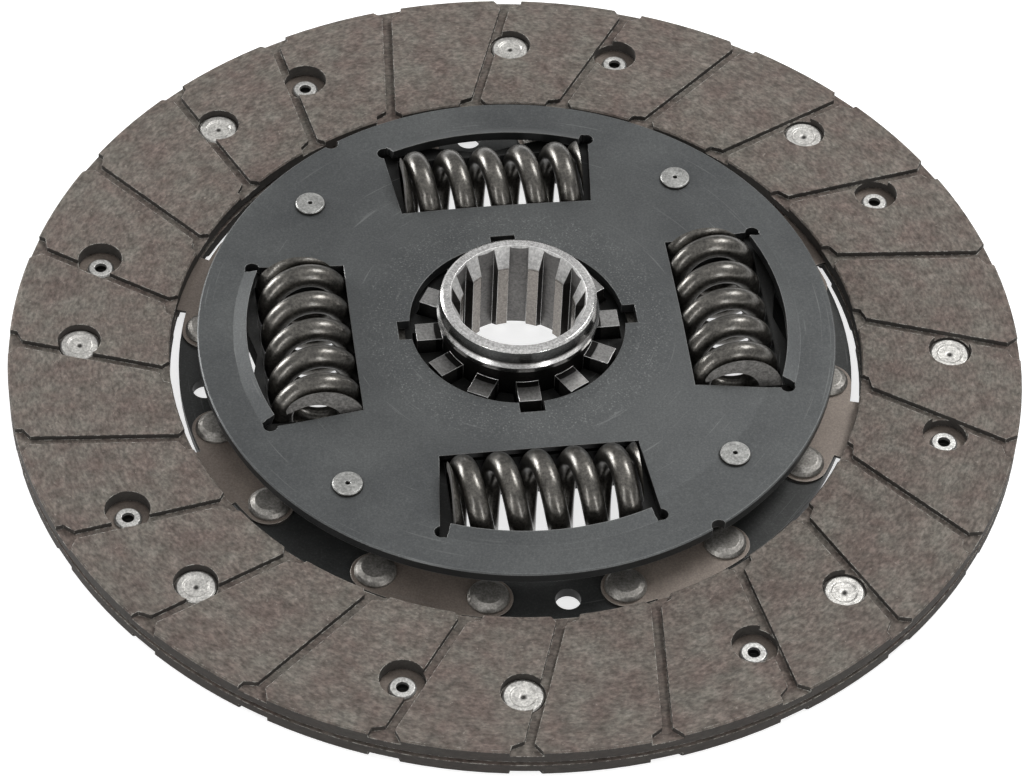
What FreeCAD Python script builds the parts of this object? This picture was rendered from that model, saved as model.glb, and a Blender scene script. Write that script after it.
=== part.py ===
"""Clutch disc with riveted friction rings and a sprung, splined hub. Millimetres, +Z along the hub axis.

The origin is on the hub axis, in the plane that the disc rests on: the crests of the four window
lips of the carrier plate. Every piece is drawn with a spring window on +X, and the whole disc is
then turned by the clocking angle.
"""
import FreeCAD, Part
import math
import os

import Sketcher

os.makedirs("parts", exist_ok=True)
doc = FreeCAD.newDocument("clutch_disc")

# Driving dimensions
DIMENSIONS = [
    ("clocking", 9.4, "angle of the first spring window, degrees"),
    ("fit_gap", 0.05, "clearance of each rivet and pin in its hole"),
    ("running_gap", 0.05, "clearance of faces that turn on each other"),
    ("cut_margin", 3.0, "how far a cut runs on past the piece"),
    ("edge_break", 0.3, "broken edge of a turned piece"),
    ("spline_count", 10, "splines in the hub"),
    ("spline_minor", 13.0, "radius across the spline lands"),
    ("spline_depth", 1.3, "depth of the spline slots"),
    ("spline_slot_half", 2.25, "half width of a spline slot"),
    ("spline_turn", 10.0, "angle of the first spline slot from the window, degrees"),
    ("lead_margin", 0.9, "how far the bore's mouth is wider than the slots"),
    ("lead_depth", 5.4, "cone at the bore's upper mouth"),
    ("lead_foot", 1.6, "cone at the bore's lower mouth"),
    ("hub_wall", 2.9, "wall of the hub outside the slots"),
    ("hub_collar_step", 0.95, "step of the hub's upper collar"),
    ("hub_collar_height", 5.85, "collar with its cone"),
    ("hub_cone", 3.95, "height of the collar's cone"),
    ("hub_land_width", 2.0, "width of the hub's end face"),
    ("hub_length", 24.95, "hub"),
    ("hub_foot", 0.2, "height of the hub's lower end above the rest plane"),
    ("tooth_count", 12, "teeth on the hub"),
    ("tooth_half", 2.5, "half width of a hub tooth"),
    ("tooth_depth", 5.8, "hub tooth, from the hub's wall to its tip"),
    ("tooth_room", 0.3, "radial clearance at a tooth's tip and root"),
    ("tooth_height", 9.1, "length of the hub teeth"),
    ("twist", 6.0, "turn of the flange between the stop pins, degrees"),
    ("play", 1.5, "turn of the hub between the flange teeth, degrees"),
    ("bush_wall", 3.2, "wall of the centring bush"),
    ("bush_ledge", 0.9, "reach of the bush's flange past the hub teeth"),
    ("washer_room", 1.3, "space between the bush and the friction washers"),
    ("washer_margin", 2.25, "space between the friction washers and the springs"),
    ("lower_ring", 1.85, "thickness of the lower friction washer"),
    ("upper_ring", 1.0, "thickness of the upper friction washer"),
    ("cone_sheet", 0.6, "sheet of the cone spring"),
    ("cone_reach", 1.0, "reach of the cone spring past the washers"),
    ("window_count", 4, "spring windows"),
    ("window_half", 22.0, "half length of a window at its straight edge"),
    ("window_grip", 1.45, "overlap of a window's straight edge with the spring"),
    ("relief_radius", 1.6, "relief hole at each end of a lip"),
    ("relief_reach", 0.5, "distance of the relief holes past the spring's outer side"),
    ("relief_step", 1.8, "distance of the relief holes past the window's end"),
    ("spring_circle", 46.65, "distance of a spring's axis from the hub axis"),
    ("spring_radius", 10.4, "outer radius of a damper spring"),
    ("spring_wire", 4.8, "wire of a damper spring"),
    ("spring_pitch", 8.25, "pitch of the working coils"),
    ("spring_turns", 4, "working coils"),
    ("spring_closed", 5.7, "pitch of the closed coil at each end"),
    ("spring_play", 1.35, "play of a spring in a plate's window, at each end"),
    ("spring_rise", 4.6, "spring axis above the flange's lower face"),
    ("spring_room", 0.4, "clearance round a spring"),
    ("lip_gap", 3.55, "distance of a lip's free edge past the spring's outer side"),
    ("lip_width", 3.0, "lip, from its free edge to its bend"),
    ("lip_overlap", 1.2, "run of the bend into the plate"),
    ("flange_bar", 1.0, "bar of the flange outside a window, at its narrow middle"),
    ("flange_nick", 12.5, "slope of the shallow nick in the rim outside a window, degrees"),
    ("flange_margin", 3.45, "sheet of the flange outside a window's corner"),
    ("flange_thickness", 5.5, "hub flange"),
    ("pin_reach", 3.05, "distance of the stop pins' circle past the springs' outer side"),
    ("pin_angle", 45.0, "angle of the first stop pin from the window"),
    ("pin_shoulder", 4.5, "radius of a stop pin between the plates"),
    ("pin_tenon", 2.8, "radius of a stop pin in the plates"),
    ("pin_head", 3.45, "radius of a stop pin's head"),
    ("pin_head_height", 0.9, "stop pin's head"),
    ("pin_head_edge", 0.3, "broken edge of a stop pin's head"),
    ("pin_dimple", 0.6, "radius of the centre mark in a stop pin's head"),
    ("notch_room", 0.8, "clearance of a stop pin at the floor of its notch"),
    ("plate_spacing", 7.9, "space between the carrier and the retainer"),
    ("retainer_rim", 8.0, "rim of the retainer plate outside the lips"),
    ("retainer_sheet", 2.5, "retainer plate"),
    ("retainer_step", 1.2, "how far the retainer's central hole clears the hub teeth"),
    ("retainer_lip", 1.4, "rise of the retainer plate's window lips"),
    ("retainer_dish", 1.6, "rise of the retainer plate's middle"),
    ("dish_inner", 27.0, "radius where the raised middle ends"),
    ("dish_width", 31.0, "width of the slope outside the raised middle"),
    ("keyway_half", 2.8, "half width of the notches in the retainer's central hole"),
    ("keyway_depth", 2.7, "notches in the retainer's central hole"),
    ("edge_notch", 1.7, "radius of the two notches in the retainer's edge"),
    ("edge_notch_angle", 120.0, "angle of the first edge notch from the window"),
    ("carrier_sheet", 2.5, "carrier plate"),
    ("carrier_lip", 1.7, "drop of the carrier plate's window lips"),
    ("carrier_hole", 2.8, "radius of the four holes between the segments"),
    ("carrier_hole_angle", 1.8, "angle of those holes from the windows"),
    ("tab_rivet_reach", 6.9, "distance of the tab rivets' circle past the lips"),
    ("tab_rivet_shank", 2.4, "radius of a tab rivet's shank"),
    ("tab_rivet_head", 4.6, "radius of a tab rivet's head"),
    ("tab_rivet_height", 1.9, "tab rivet's domed head"),
    ("tab_rivet_foot", 3.7, "radius of a tab rivet's lower head"),
    ("tab_rivet_foot_height", 1.0, "tab rivet's lower head"),
    ("tab_rivet_edge", 0.6, "broken edge of a tab rivet's lower head"),
    ("tab_margin", 5.4, "sheet round a tab rivet"),
    ("tab_half", 10.3, "half angle between the tab's two rivets"),
    ("carrier_margin", 0.1, "edge of the carrier plate past the tabs"),
    ("segment_count", 8, "cushion segments"),
    ("segment_sheet", 0.7, "spring steel of the segments"),
    ("segment_tab_angle", 22.5, "middle of the first segment's tab, degrees"),
    ("segment_skew", 8.5, "angle from the tab to the middle of the paddle"),
    ("segment_spread", 7.45, "half angle between the paddle's two rivets"),
    ("segment_bend", 2.5, "where the paddle begins to rise, short of its middle line"),
    ("paddle_inset", 4.0, "edge of the paddle inside the friction ring's bore side"),
    ("paddle_margin", 2.5, "edge of the paddle inside the friction ring's rim"),
    ("paddle_half", 21.4, "half angle of the paddle"),
    ("neck_half", 6.3, "half angle of the neck"),
    ("facing_radius", 114.0, "outer radius of the friction rings"),
    ("facing_room", 2.0, "space between the carrier plate and the friction rings"),
    ("facing_thickness", 3.2, "one friction ring"),
    ("facing_gap", 1.2, "space between the rings, filled by the wavy segments"),
    ("facing_chamfer", 0.35, "broken edge of a friction ring"),
    ("groove_count", 24, "grooves in one friction face"),
    ("groove_width", 2.2, "groove"),
    ("groove_depth", 1.3, "groove"),
    ("groove_offset", 26.0, "distance of a groove's line from the hub axis"),
    ("groove_turn", -4.5, "direction of the first groove, degrees"),
    ("groove_mouth", 3.4, "half width of a groove's flared end"),
    ("groove_flare", 1.8, "length of the flare"),
    ("groove_rim", 1.0, "depth of the flared end from the rim"),
    ("groove_throat", 0.4, "depth of the flared end from the bore"),
    ("rivet_shift", 2.2, "how far the rivets lie outside the middle of the friction ring"),
    ("rivet_sets", 8, "rivets in one friction ring"),
    ("rivet_shank", 2.0, "radius of a facing rivet's shank"),
    ("rivet_hollow", 1.4, "radius of the hollow in a facing rivet's tail end"),
    ("rivet_hollow_depth", 2.1, "depth of that hollow"),
    ("rivet_head", 4.45, "radius of a facing rivet's head"),
    ("rivet_head_height", 0.8, "facing rivet's head"),
    ("rivet_head_edge", 0.4, "broken edge of a facing rivet's head"),
    ("rivet_head_rim", 1.5, "rim round the dish of a facing rivet's head"),
    ("rivet_mark", 0.9, "radius of the centre mark in a facing rivet's head"),
    ("rivet_mark_depth", 0.2, "depth of that centre mark"),
    ("rivet_tail", 3.0, "radius of a facing rivet's rolled tail"),
    ("rivet_tail_height", 0.8, "facing rivet's rolled tail"),
    ("counterbore", 4.85, "radius of the recess for a rivet head"),
    ("counterbore_depth", 2.2, "recess for a rivet head"),
    ("tail_hole", 5.0, "radius of the clearance hole round a rolled tail"),
]
sheet = doc.addObject("Spreadsheet::Sheet", "sizes")
for row, (name, value, meaning) in enumerate(DIMENSIONS, start=1):
    sheet.set(f"A{row}", str(value))
    sheet.setAlias(f"A{row}", name)
    sheet.set(f"B{row}", meaning)
doc.recompute()

# Radii, each worked out from the pieces inside it
SPLINE_MAJOR = "(sizes.spline_minor + sizes.spline_depth)"
LEAD_RADIUS = f"({SPLINE_MAJOR} + sizes.lead_margin)"
HUB_NECK = f"({SPLINE_MAJOR} + sizes.hub_wall)"
HUB_COLLAR = f"({HUB_NECK} + sizes.hub_collar_step)"
HUB_LAND = f"({LEAD_RADIUS} + sizes.hub_land_width)"
TOOTH_TIP = f"({HUB_NECK} + sizes.tooth_depth)"
BUSH_SLEEVE = f"({HUB_NECK} + sizes.running_gap)"
BUSH_OUTER = f"({BUSH_SLEEVE} + sizes.bush_wall)"
CARRIER_BORE = f"({BUSH_OUTER} + sizes.fit_gap)"
BUSH_FLANGE = f"({TOOTH_TIP} + sizes.bush_ledge)"
RETAINER_BORE = f"({TOOTH_TIP} + sizes.retainer_step)"
WASHER_INNER = f"({BUSH_FLANGE} + sizes.washer_room)"
WASHER_OUTER = "(sizes.spring_circle - sizes.spring_radius - sizes.washer_margin)"
SPRING_CAVITY = "(sizes.spring_radius + sizes.spring_room)"
WINDOW_INNER = "(sizes.spring_circle - sizes.spring_radius + sizes.window_grip)"
SPRING_SIDE = "(sizes.spring_circle + sizes.spring_radius)"
RELIEF_X = f"({SPRING_SIDE} + sizes.relief_reach)"
RELIEF_Y = "(sizes.window_half + sizes.relief_step)"
LIP_EDGE = f"({SPRING_SIDE} + sizes.lip_gap)"
LIP_ROOT = f"({LIP_EDGE} + sizes.lip_width)"
PIN_CIRCLE = f"({SPRING_SIDE} + sizes.pin_reach)"
FLANGE_WALL = f"(sizes.spring_circle + {SPRING_CAVITY})"
FLANGE_HALF = "(sizes.window_half - sizes.spring_play)"
SPRING_HALF = f"({FLANGE_HALF} - sizes.fit_gap)"
FLANGE_RADIUS = f"(sqrt({FLANGE_WALL} ^ 2 + {FLANGE_HALF} ^ 2) + sizes.flange_margin)"
DISH_OUTER = "(sizes.dish_inner + sizes.dish_width)"
RETAINER_RADIUS = f"({LIP_ROOT} + sizes.retainer_rim)"
TAB_CIRCLE = f"({LIP_ROOT} + sizes.tab_rivet_reach)"
CARRIER_RADIUS = f"({TAB_CIRCLE} + sizes.tab_margin + sizes.carrier_margin)"
FACING_BORE = f"({CARRIER_RADIUS} + sizes.facing_room)"
PADDLE_INNER = f"({FACING_BORE} + sizes.paddle_inset)"
PADDLE_OUTER = "(sizes.facing_radius - sizes.paddle_margin)"
RIVET_CIRCLE = f"((sizes.facing_radius + {FACING_BORE}) / 2 + sizes.rivet_shift)"

# Levels above the rest plane, each worked out from the pieces below it
CARRIER_LOW = "sizes.carrier_lip"
CARRIER_TOP = f"({CARRIER_LOW} + sizes.carrier_sheet)"
LOWER_FACE = f"({CARRIER_TOP} - sizes.facing_thickness)"
PADDLE_RISE = "(sizes.facing_gap - sizes.segment_sheet)"
UPPER_RING_LOW = f"({CARRIER_TOP} + sizes.facing_gap)"
UPPER_FACE = f"({UPPER_RING_LOW} + sizes.facing_thickness)"
RETAINER_LOW = f"({CARRIER_TOP} + sizes.plate_spacing)"
RETAINER_TOP = f"({RETAINER_LOW} + sizes.retainer_sheet)"
DISH_LOW = f"({RETAINER_LOW} + sizes.retainer_dish)"
DISH_TOP = f"({RETAINER_TOP} + sizes.retainer_dish)"
FLANGE_LOW = f"({CARRIER_TOP} + sizes.lower_ring + sizes.running_gap)"
FLANGE_TOP = f"({FLANGE_LOW} + sizes.flange_thickness)"
WASHER_LOW = f"({FLANGE_TOP} + sizes.running_gap)"
WASHER_TOP = f"({WASHER_LOW} + sizes.upper_ring)"
SPRING_AXIS = f"({FLANGE_LOW} + sizes.spring_rise)"
HUB_TOP = "(sizes.hub_foot + sizes.hub_length)"
COLLAR_LOW = f"({HUB_TOP} - sizes.hub_collar_height)"
TOOTH_LOW = FLANGE_LOW


def number(expression):
    """The value of an expression of sheet cells."""
    result = sheet.evalExpression(str(expression))
    return float(getattr(result, "Value", result))


def origin_plane(body, role):
    """One of a body's own origin planes or axes."""
    return next(item for item in body.Origin.OriginFeatures if item.Role == role)


def new_body(name):
    """An empty body whose label is the node's name."""
    body = doc.addObject("PartDesign::Body", name)
    body.Label = name
    return body


def small_turn(x, y, z):
    """A placement turned by one degree, which fixes its axis before its angle is bound."""
    return FreeCAD.Placement(FreeCAD.Vector(), FreeCAD.Rotation(FreeCAD.Vector(x, y, z), 1))


def new_sketch(body, name, role="XY_Plane", level=None, turn=None):
    """A sketch on an origin plane, lifted to a level and turned by an angle."""
    sketch = body.newObject("Sketcher::SketchObject", name)
    sketch.AttachmentSupport = [(origin_plane(body, role), "")]
    sketch.MapMode = "FlatFace"
    if turn:
        sketch.AttachmentOffset = small_turn(0, 0, 1)
        sketch.setExpression("AttachmentOffset.Rotation.Angle", turn)
    if level:
        sketch.setExpression("AttachmentOffset.Base.z", level)
    return sketch


def turn_about_axis(sketch, angle):
    """Turn an upright sketch about the hub axis."""
    sketch.AttachmentOffset = small_turn(0, 1, 0)
    sketch.setExpression("AttachmentOffset.Rotation.Angle", angle)


def pin_point(sketch, edge, end, x_place, y_place):
    """Hold one end of an edge at a place worked out from the sheet."""
    for kind, place in (("DistanceX", x_place), ("DistanceY", y_place)):
        index = sketch.addConstraint(Sketcher.Constraint(kind, -1, 1, edge, end, number(place)))
        sketch.setExpression(f"Constraints[{index}]", str(place))


def draw_outline(sketch, corners, arcs=None):
    """A closed outline through corners. arcs maps an edge's index to its centre and radius."""
    arcs = arcs or {}
    places = [FreeCAD.Vector(number(x), number(y), 0) for x, y in corners]
    ends = []
    for index, start in enumerate(places):
        finish = places[(index + 1) % len(places)]
        if index not in arcs:
            edge = sketch.addGeometry(Part.LineSegment(start, finish), False)
            ends.append((edge, 1, 2))
            continue
        centre_x, centre_y, radius = arcs[index]
        centre = FreeCAD.Vector(number(centre_x), number(centre_y), 0)
        from_angle = math.atan2(start.y - centre.y, start.x - centre.x)
        to_angle = math.atan2(finish.y - centre.y, finish.x - centre.x)
        forward = (to_angle - from_angle) % (2 * math.pi) < math.pi
        if not forward:
            from_angle, to_angle = to_angle, from_angle
        circle = Part.Circle(centre, FreeCAD.Vector(0, 0, 1), number(radius))
        edge = sketch.addGeometry(Part.ArcOfCircle(circle, from_angle, to_angle), False)
        ends.append((edge, 1, 2) if forward else (edge, 2, 1))
    for index, (edge, begin, _) in enumerate(ends):
        before, _, finish = ends[index - 1]
        sketch.addConstraint(Sketcher.Constraint("Coincident", before, finish, edge, begin))
        pin_point(sketch, edge, begin, *corners[index])
    for index, (_, _, radius) in arcs.items():
        constraint = sketch.addConstraint(Sketcher.Constraint("Radius", ends[index][0], number(radius)))
        sketch.setExpression(f"Constraints[{constraint}]", str(radius))


def draw_circle(sketch, x_place, y_place, radius):
    """A circle held at a place worked out from the sheet."""
    centre = FreeCAD.Vector(number(x_place), number(y_place), 0)
    edge = sketch.addGeometry(Part.Circle(centre, FreeCAD.Vector(0, 0, 1), number(radius)), False)
    pin_point(sketch, edge, 3, x_place, y_place)
    index = sketch.addConstraint(Sketcher.Constraint("Radius", edge, number(radius)))
    sketch.setExpression(f"Constraints[{index}]", str(radius))


def polar_place(radius, angle):
    """The place at a radius and an angle in degrees, as expressions."""
    return f"({radius}) * cos({angle})", f"({radius}) * sin({angle})"


def pad(body, sketch, height, name):
    """Raise a sketch by a height."""
    feature = body.newObject("PartDesign::Pad", name)
    feature.Profile = sketch
    feature.setExpression("Length", height)
    return feature


def pocket(body, sketch, depth, name, upwards=False):
    """Cut a sketch downwards by a depth, or upwards."""
    feature = body.newObject("PartDesign::Pocket", name)
    feature.Profile = sketch
    feature.Reversed = upwards
    feature.setExpression("Length", depth)
    return feature


def turned(body, sketch, name, axis=None):
    """Turn a profile once round the Z axis, or round the sketch's own construction line."""
    feature = body.newObject("PartDesign::Revolution", name)
    feature.Profile = sketch
    feature.ReferenceAxis = axis or (origin_plane(body, "Z_Axis"), [""])
    feature.Angle = 360
    return feature


def around(body, features, count, name):
    """Repeat features round the hub axis."""
    pattern = body.newObject("PartDesign::PolarPattern", name)
    pattern.Originals = features
    pattern.Axis = (origin_plane(body, "Z_Axis"), [""])
    pattern.Angle = 360
    pattern.setExpression("Occurrences", count)
    body.Tip = pattern
    return pattern


def clock(item, extra="0"):
    """Turn a finished piece to the disc's clocking angle."""
    item.Placement = small_turn(0, 0, 1)
    item.setExpression("Placement.Rotation.Angle", f"sizes.clocking + {extra}")
    return item


def ring(name, corners):
    """A ring turned from a closed profile of radius and level."""
    body = new_body(name)
    profile = new_sketch(body, name + "_profile", "XZ_Plane")
    draw_outline(profile, corners)
    turned(body, profile, name + "_turned")
    return body


def rivet_group(name, centres, half_profile, count):
    """Separate turned rivets on circles round the hub axis.

    centres holds pairs of circle radius and angle, and half_profile the rivet's radii and levels."""
    body = new_body(name)
    rivets = []
    for index, (circle, angle) in enumerate(centres):
        sketch = new_sketch(body, f"{name}_profile_{index}", "XZ_Plane")
        corners = [(f"({circle}) + ({radius})", level) for radius, level in half_profile]
        draw_outline(sketch, corners)
        axis_line = sketch.addGeometry(Part.LineSegment(
            FreeCAD.Vector(number(circle), number(half_profile[0][1]), 0),
            FreeCAD.Vector(number(circle), number(half_profile[-1][1]), 0)), True)
        pin_point(sketch, axis_line, 1, circle, half_profile[0][1])
        pin_point(sketch, axis_line, 2, circle, half_profile[-1][1])
        rivet = turned(body, sketch, f"{name}_turned_{index}", (sketch, ["Axis0"]))
        rivets.append(rivet)
    around(body, rivets, count, name + "_around")
    return body


def friction_ring(name, low, upper):
    """One friction ring with grooves, sunk rivet seats and clearance holes for the other ring's tails."""
    half = "sizes.facing_thickness"
    high = f"({low} + {half})"
    cut = "sizes.facing_chamfer"
    outside, inside = "sizes.facing_radius", FACING_BORE
    face_edge = [(outside, f"{high} - {cut}"), (f"{outside} - {cut}", high), (f"{inside} + {cut}", high),
                 (inside, f"{high} - {cut}"), (inside, low), (outside, low)]
    if not upper:
        face_edge = [(outside, high), (inside, high), (inside, f"{low} + {cut}"), (f"{inside} + {cut}", low),
                     (f"{outside} - {cut}", low), (outside, f"{low} + {cut}")]
    body = ring(name, face_edge)
    face = high if upper else low
    offset, wide, mouth = "sizes.groove_offset", "sizes.groove_width / 2", "sizes.groove_mouth"
    margin, flare = "sizes.cut_margin", "sizes.groove_flare"
    rim = f"(sqrt({outside} ^ 2 - {offset} ^ 2) - sizes.groove_rim)"
    hole = f"(sqrt({inside} ^ 2 - {offset} ^ 2) + sizes.groove_throat)"
    groove = new_sketch(body, name + "_groove", level=face, turn="sizes.groove_turn")
    draw_outline(groove, [
        (f"{hole} - 2 * {margin}", f"{offset} - {mouth}"), (hole, f"{offset} - {mouth}"),
        (f"{hole} + {flare}", f"{offset} - {wide}"), (f"{rim} - {flare}", f"{offset} - {wide}"),
        (rim, f"{offset} - {mouth}"), (f"{rim} + 2 * {margin}", f"{offset} - {mouth}"),
        (f"{rim} + 2 * {margin}", f"{offset} + {mouth}"), (rim, f"{offset} + {mouth}"),
        (f"{rim} - {flare}", f"{offset} + {wide}"), (f"{hole} + {flare}", f"{offset} + {wide}"),
        (hole, f"{offset} + {mouth}"), (f"{hole} - 2 * {margin}", f"{offset} + {mouth}")])
    around(body, [pocket(body, groove, "sizes.groove_depth", name + "_groove_cut", not upper)],
           "sizes.groove_count", name + "_grooves")
    seat_angle, tail_angle = (HIGH_RIVET, LOW_RIVET) if upper else (LOW_RIVET, HIGH_RIVET)
    for part, angle, radius, depth in (
            ("seat", seat_angle, "sizes.counterbore", "sizes.counterbore_depth"),
            ("shank", seat_angle, "sizes.rivet_shank + sizes.fit_gap", half + " * 1.5"),
            ("tail", tail_angle, "sizes.tail_hole", half + " * 1.5")):
        hole_sketch = new_sketch(body, f"{name}_{part}", level=face)
        draw_circle(hole_sketch, *polar_place(RIVET_CIRCLE, angle), radius)
        around(body, [pocket(body, hole_sketch, depth, f"{name}_{part}_cut", not upper)],
               "sizes.rivet_sets", f"{name}_{part}_holes")
    return clock(body)


def cushion_segment(index):
    """A wavy spring-steel segment: a tab on the carrier plate, a neck, and a paddle between the rings.

    The paddle lies on the lower ring round one rivet and steps up to the upper ring round the other."""
    name = f"cushion_segment_{index + 1}"
    body = new_body(name)
    tab, middle = "sizes.segment_tab_angle", "(sizes.segment_tab_angle + sizes.segment_skew)"
    edge, thick, circle = "sizes.tab_margin", "sizes.segment_sheet", TAB_CIRCLE
    inner, outer, half = PADDLE_INNER, PADDLE_OUTER, "sizes.paddle_half"
    paddle = new_sketch(body, name + "_paddle", level=CARRIER_TOP)
    draw_outline(paddle, [
        polar_place(circle, f"{tab} - sizes.neck_half"), polar_place(inner, f"{tab} - sizes.neck_half"),
        polar_place(inner, f"{middle} - {half}"), polar_place(outer, f"{middle} - {half}"),
        polar_place(outer, f"{middle} + {half}"), polar_place(inner, f"{middle} + {half}"),
        polar_place(inner, f"{tab} + sizes.neck_half"), polar_place(circle, f"{tab} + sizes.neck_half")],
        {1: ("0", "0", inner), 3: ("0", "0", outer), 5: ("0", "0", inner)})
    pad(body, paddle, f"{thick} + {PADDLE_RISE}", name + "_blank")
    # The wave is cut from the blank by two outlines seen along the paddle's middle line
    bend = f"({RIVET_CIRCLE} * sin(sizes.segment_spread) - sizes.tab_margin)"
    start = "(-sizes.segment_bend)"
    for part, corners in (
            ("above", [(f"-{outer}", f"{CARRIER_TOP} + {thick}"), (start, f"{CARRIER_TOP} + {thick}"),
                       (bend, UPPER_RING_LOW), (bend, f"{UPPER_RING_LOW} + 1"),
                       (f"-{outer}", f"{UPPER_RING_LOW} + 1")]),
            ("below", [(start, CARRIER_TOP), (start, f"{CARRIER_TOP} - 1"), (outer, f"{CARRIER_TOP} - 1"),
                       (outer, f"{CARRIER_TOP} + {PADDLE_RISE}"), (bend, f"{CARRIER_TOP} + {PADDLE_RISE}")])):
        side = new_sketch(body, f"{name}_{part}", "YZ_Plane")
        turn_about_axis(side, middle)
        draw_outline(side, corners)
        pocket(body, side, "sizes.facing_radius", f"{name}_{part}_cut", True)
    left, right = f"({tab} + sizes.tab_half)", f"({tab} - sizes.tab_half)"
    near, far = f"({circle} - {edge})", f"({circle} + {edge})"

    def tab_end(angle, turn):
        x_place, y_place = polar_place(circle, angle)
        return (f"{x_place} + {edge} * cos({angle} {turn} 90)",
                f"{y_place} + {edge} * sin({angle} {turn} 90)")
    tab_sheet = new_sketch(body, name + "_tab", level=CARRIER_TOP)
    draw_outline(tab_sheet, [
        polar_place(near, right), tab_end(right, "-"), polar_place(far, right), polar_place(far, left),
        tab_end(left, "+"), polar_place(near, left)],
        {0: (*polar_place(circle, right), edge), 1: (*polar_place(circle, right), edge),
         2: ("0", "0", far), 3: (*polar_place(circle, left), edge), 4: (*polar_place(circle, left), edge),
         5: ("0", "0", near)})
    pad(body, tab_sheet, thick, name + "_tab_pad")
    holes = new_sketch(body, name + "_holes", level=f"({CARRIER_TOP} + 2 * {thick})")
    for angle in (left, right):
        draw_circle(holes, *polar_place(circle, angle), "sizes.tab_rivet_shank + sizes.fit_gap")
    for angle in (LOW_RIVET, HIGH_RIVET):
        draw_circle(holes, *polar_place(RIVET_CIRCLE, angle), "sizes.rivet_shank + sizes.fit_gap")
    pocket(body, holes, f"3 * {thick}", name + "_holes_cut")
    return clock(body, f"{index} * 360 / sizes.segment_count")


def window_cuts(body, name, low, sheet_thick, lip, upwards):
    """Four spring windows in a plate, each with an outer lip that is bent towards the spring's crest."""
    top = f"({low} + {sheet_thick})"
    root, edge, overlap = LIP_ROOT, LIP_EDGE, "sizes.lip_overlap"
    relief_x, relief_y = RELIEF_X, RELIEF_Y
    lip_angle = f"atan(({relief_y} - sizes.relief_radius) / {relief_x})"
    slot = new_sketch(body, name + "_window", level=f"({top} + sizes.retainer_dish)")
    root_angle = f"atan({relief_y} / {relief_x})"
    draw_outline(slot, [
        (WINDOW_INNER, "-sizes.window_half"), polar_place(root, f"-{root_angle}"),
        polar_place(root, root_angle), (WINDOW_INNER, "sizes.window_half")], {1: ("0", "0", root)})
    cut = pocket(body, slot, f"{sheet_thick} + 2 * sizes.retainer_dish", name + "_window_cut")
    around(body, [cut], "sizes.window_count", name + "_windows")
    side = new_sketch(body, name + "_lip", "XZ_Plane", turn=None)
    if upwards:
        corners = [(edge, f"{low} + {lip}"), (f"{root} + {overlap}", low), (f"{root} + {overlap}", top),
                   (f"{root}", f"{top}"), (edge, f"{top} + {lip}")]
    else:
        corners = [(edge, f"{low} - {lip}"), (root, low), (f"{root} + {overlap}", low),
                   (f"{root} + {overlap}", top), (edge, f"{top} - {lip}")]
    draw_outline(side, corners)
    fold = body.newObject("PartDesign::Revolution", name + "_lip_fold")
    fold.Profile = side
    fold.ReferenceAxis = (origin_plane(body, "Z_Axis"), [""])
    fold.Midplane = True
    fold.setExpression("Angle", f"2 * {lip_angle}")
    around(body, [fold], "sizes.window_count", name + "_lips")
    relief = new_sketch(body, name + "_relief", level=f"({top} + sizes.retainer_dish)")
    for sign in ("", "-"):
        draw_circle(relief, relief_x, f"{sign}{relief_y}", "sizes.relief_radius")
    cut = pocket(body, relief, f"{sheet_thick} + 2 * sizes.retainer_dish", name + "_relief_cut")
    around(body, [cut], "sizes.window_count", name + "_reliefs")
    spring_channel(body, name)


def spring_channel(body, name):
    """Round channels that keep a plate clear of the springs."""
    channel = new_sketch(body, name + "_channel", "XZ_Plane")
    draw_circle(channel, "sizes.spring_circle", SPRING_AXIS, SPRING_CAVITY)
    cut = body.newObject("PartDesign::Pocket", name + "_channel_cut")
    cut.Profile = channel
    cut.Midplane = True
    cut.setExpression("Length", "2 * sizes.window_half")
    around(body, [cut], "sizes.window_count", name + "_channels")


def plate_holes(body, name, level, depth, holes):
    """Round holes through a plate: name, circle, angle, radius and count."""
    for part, circle, angle, radius, count in holes:
        sketch = new_sketch(body, f"{name}_{part}", level=level)
        draw_circle(sketch, *polar_place(circle, angle), radius)
        cut = pocket(body, sketch, depth, f"{name}_{part}_cut")
        around(body, [cut], count, f"{name}_{part}_holes")


def carrier_plate():
    """The flat plate that carries the segments, with its spring windows."""
    name = "carrier_plate"
    inside, outside = CARRIER_BORE, CARRIER_RADIUS
    body = ring(name, [(inside, CARRIER_LOW), (outside, CARRIER_LOW), (outside, CARRIER_TOP),
                       (inside, CARRIER_TOP)])
    window_cuts(body, name, CARRIER_LOW, "sizes.carrier_sheet", "sizes.carrier_lip", False)
    tab_rivet = "sizes.tab_rivet_shank + sizes.fit_gap"
    plate_holes(body, name, CARRIER_TOP, "sizes.carrier_sheet * 1.5", [
        ("pin", PIN_CIRCLE, "sizes.pin_angle", "sizes.pin_tenon + sizes.fit_gap", "sizes.window_count"),
        ("sight", TAB_CIRCLE, "sizes.carrier_hole_angle", "sizes.carrier_hole",
         "sizes.window_count"),
        ("left", TAB_CIRCLE, "sizes.segment_tab_angle + sizes.tab_half", tab_rivet,
         "sizes.segment_count"),
        ("right", TAB_CIRCLE, "sizes.segment_tab_angle - sizes.tab_half", tab_rivet,
         "sizes.segment_count")])
    return clock(body)


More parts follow.
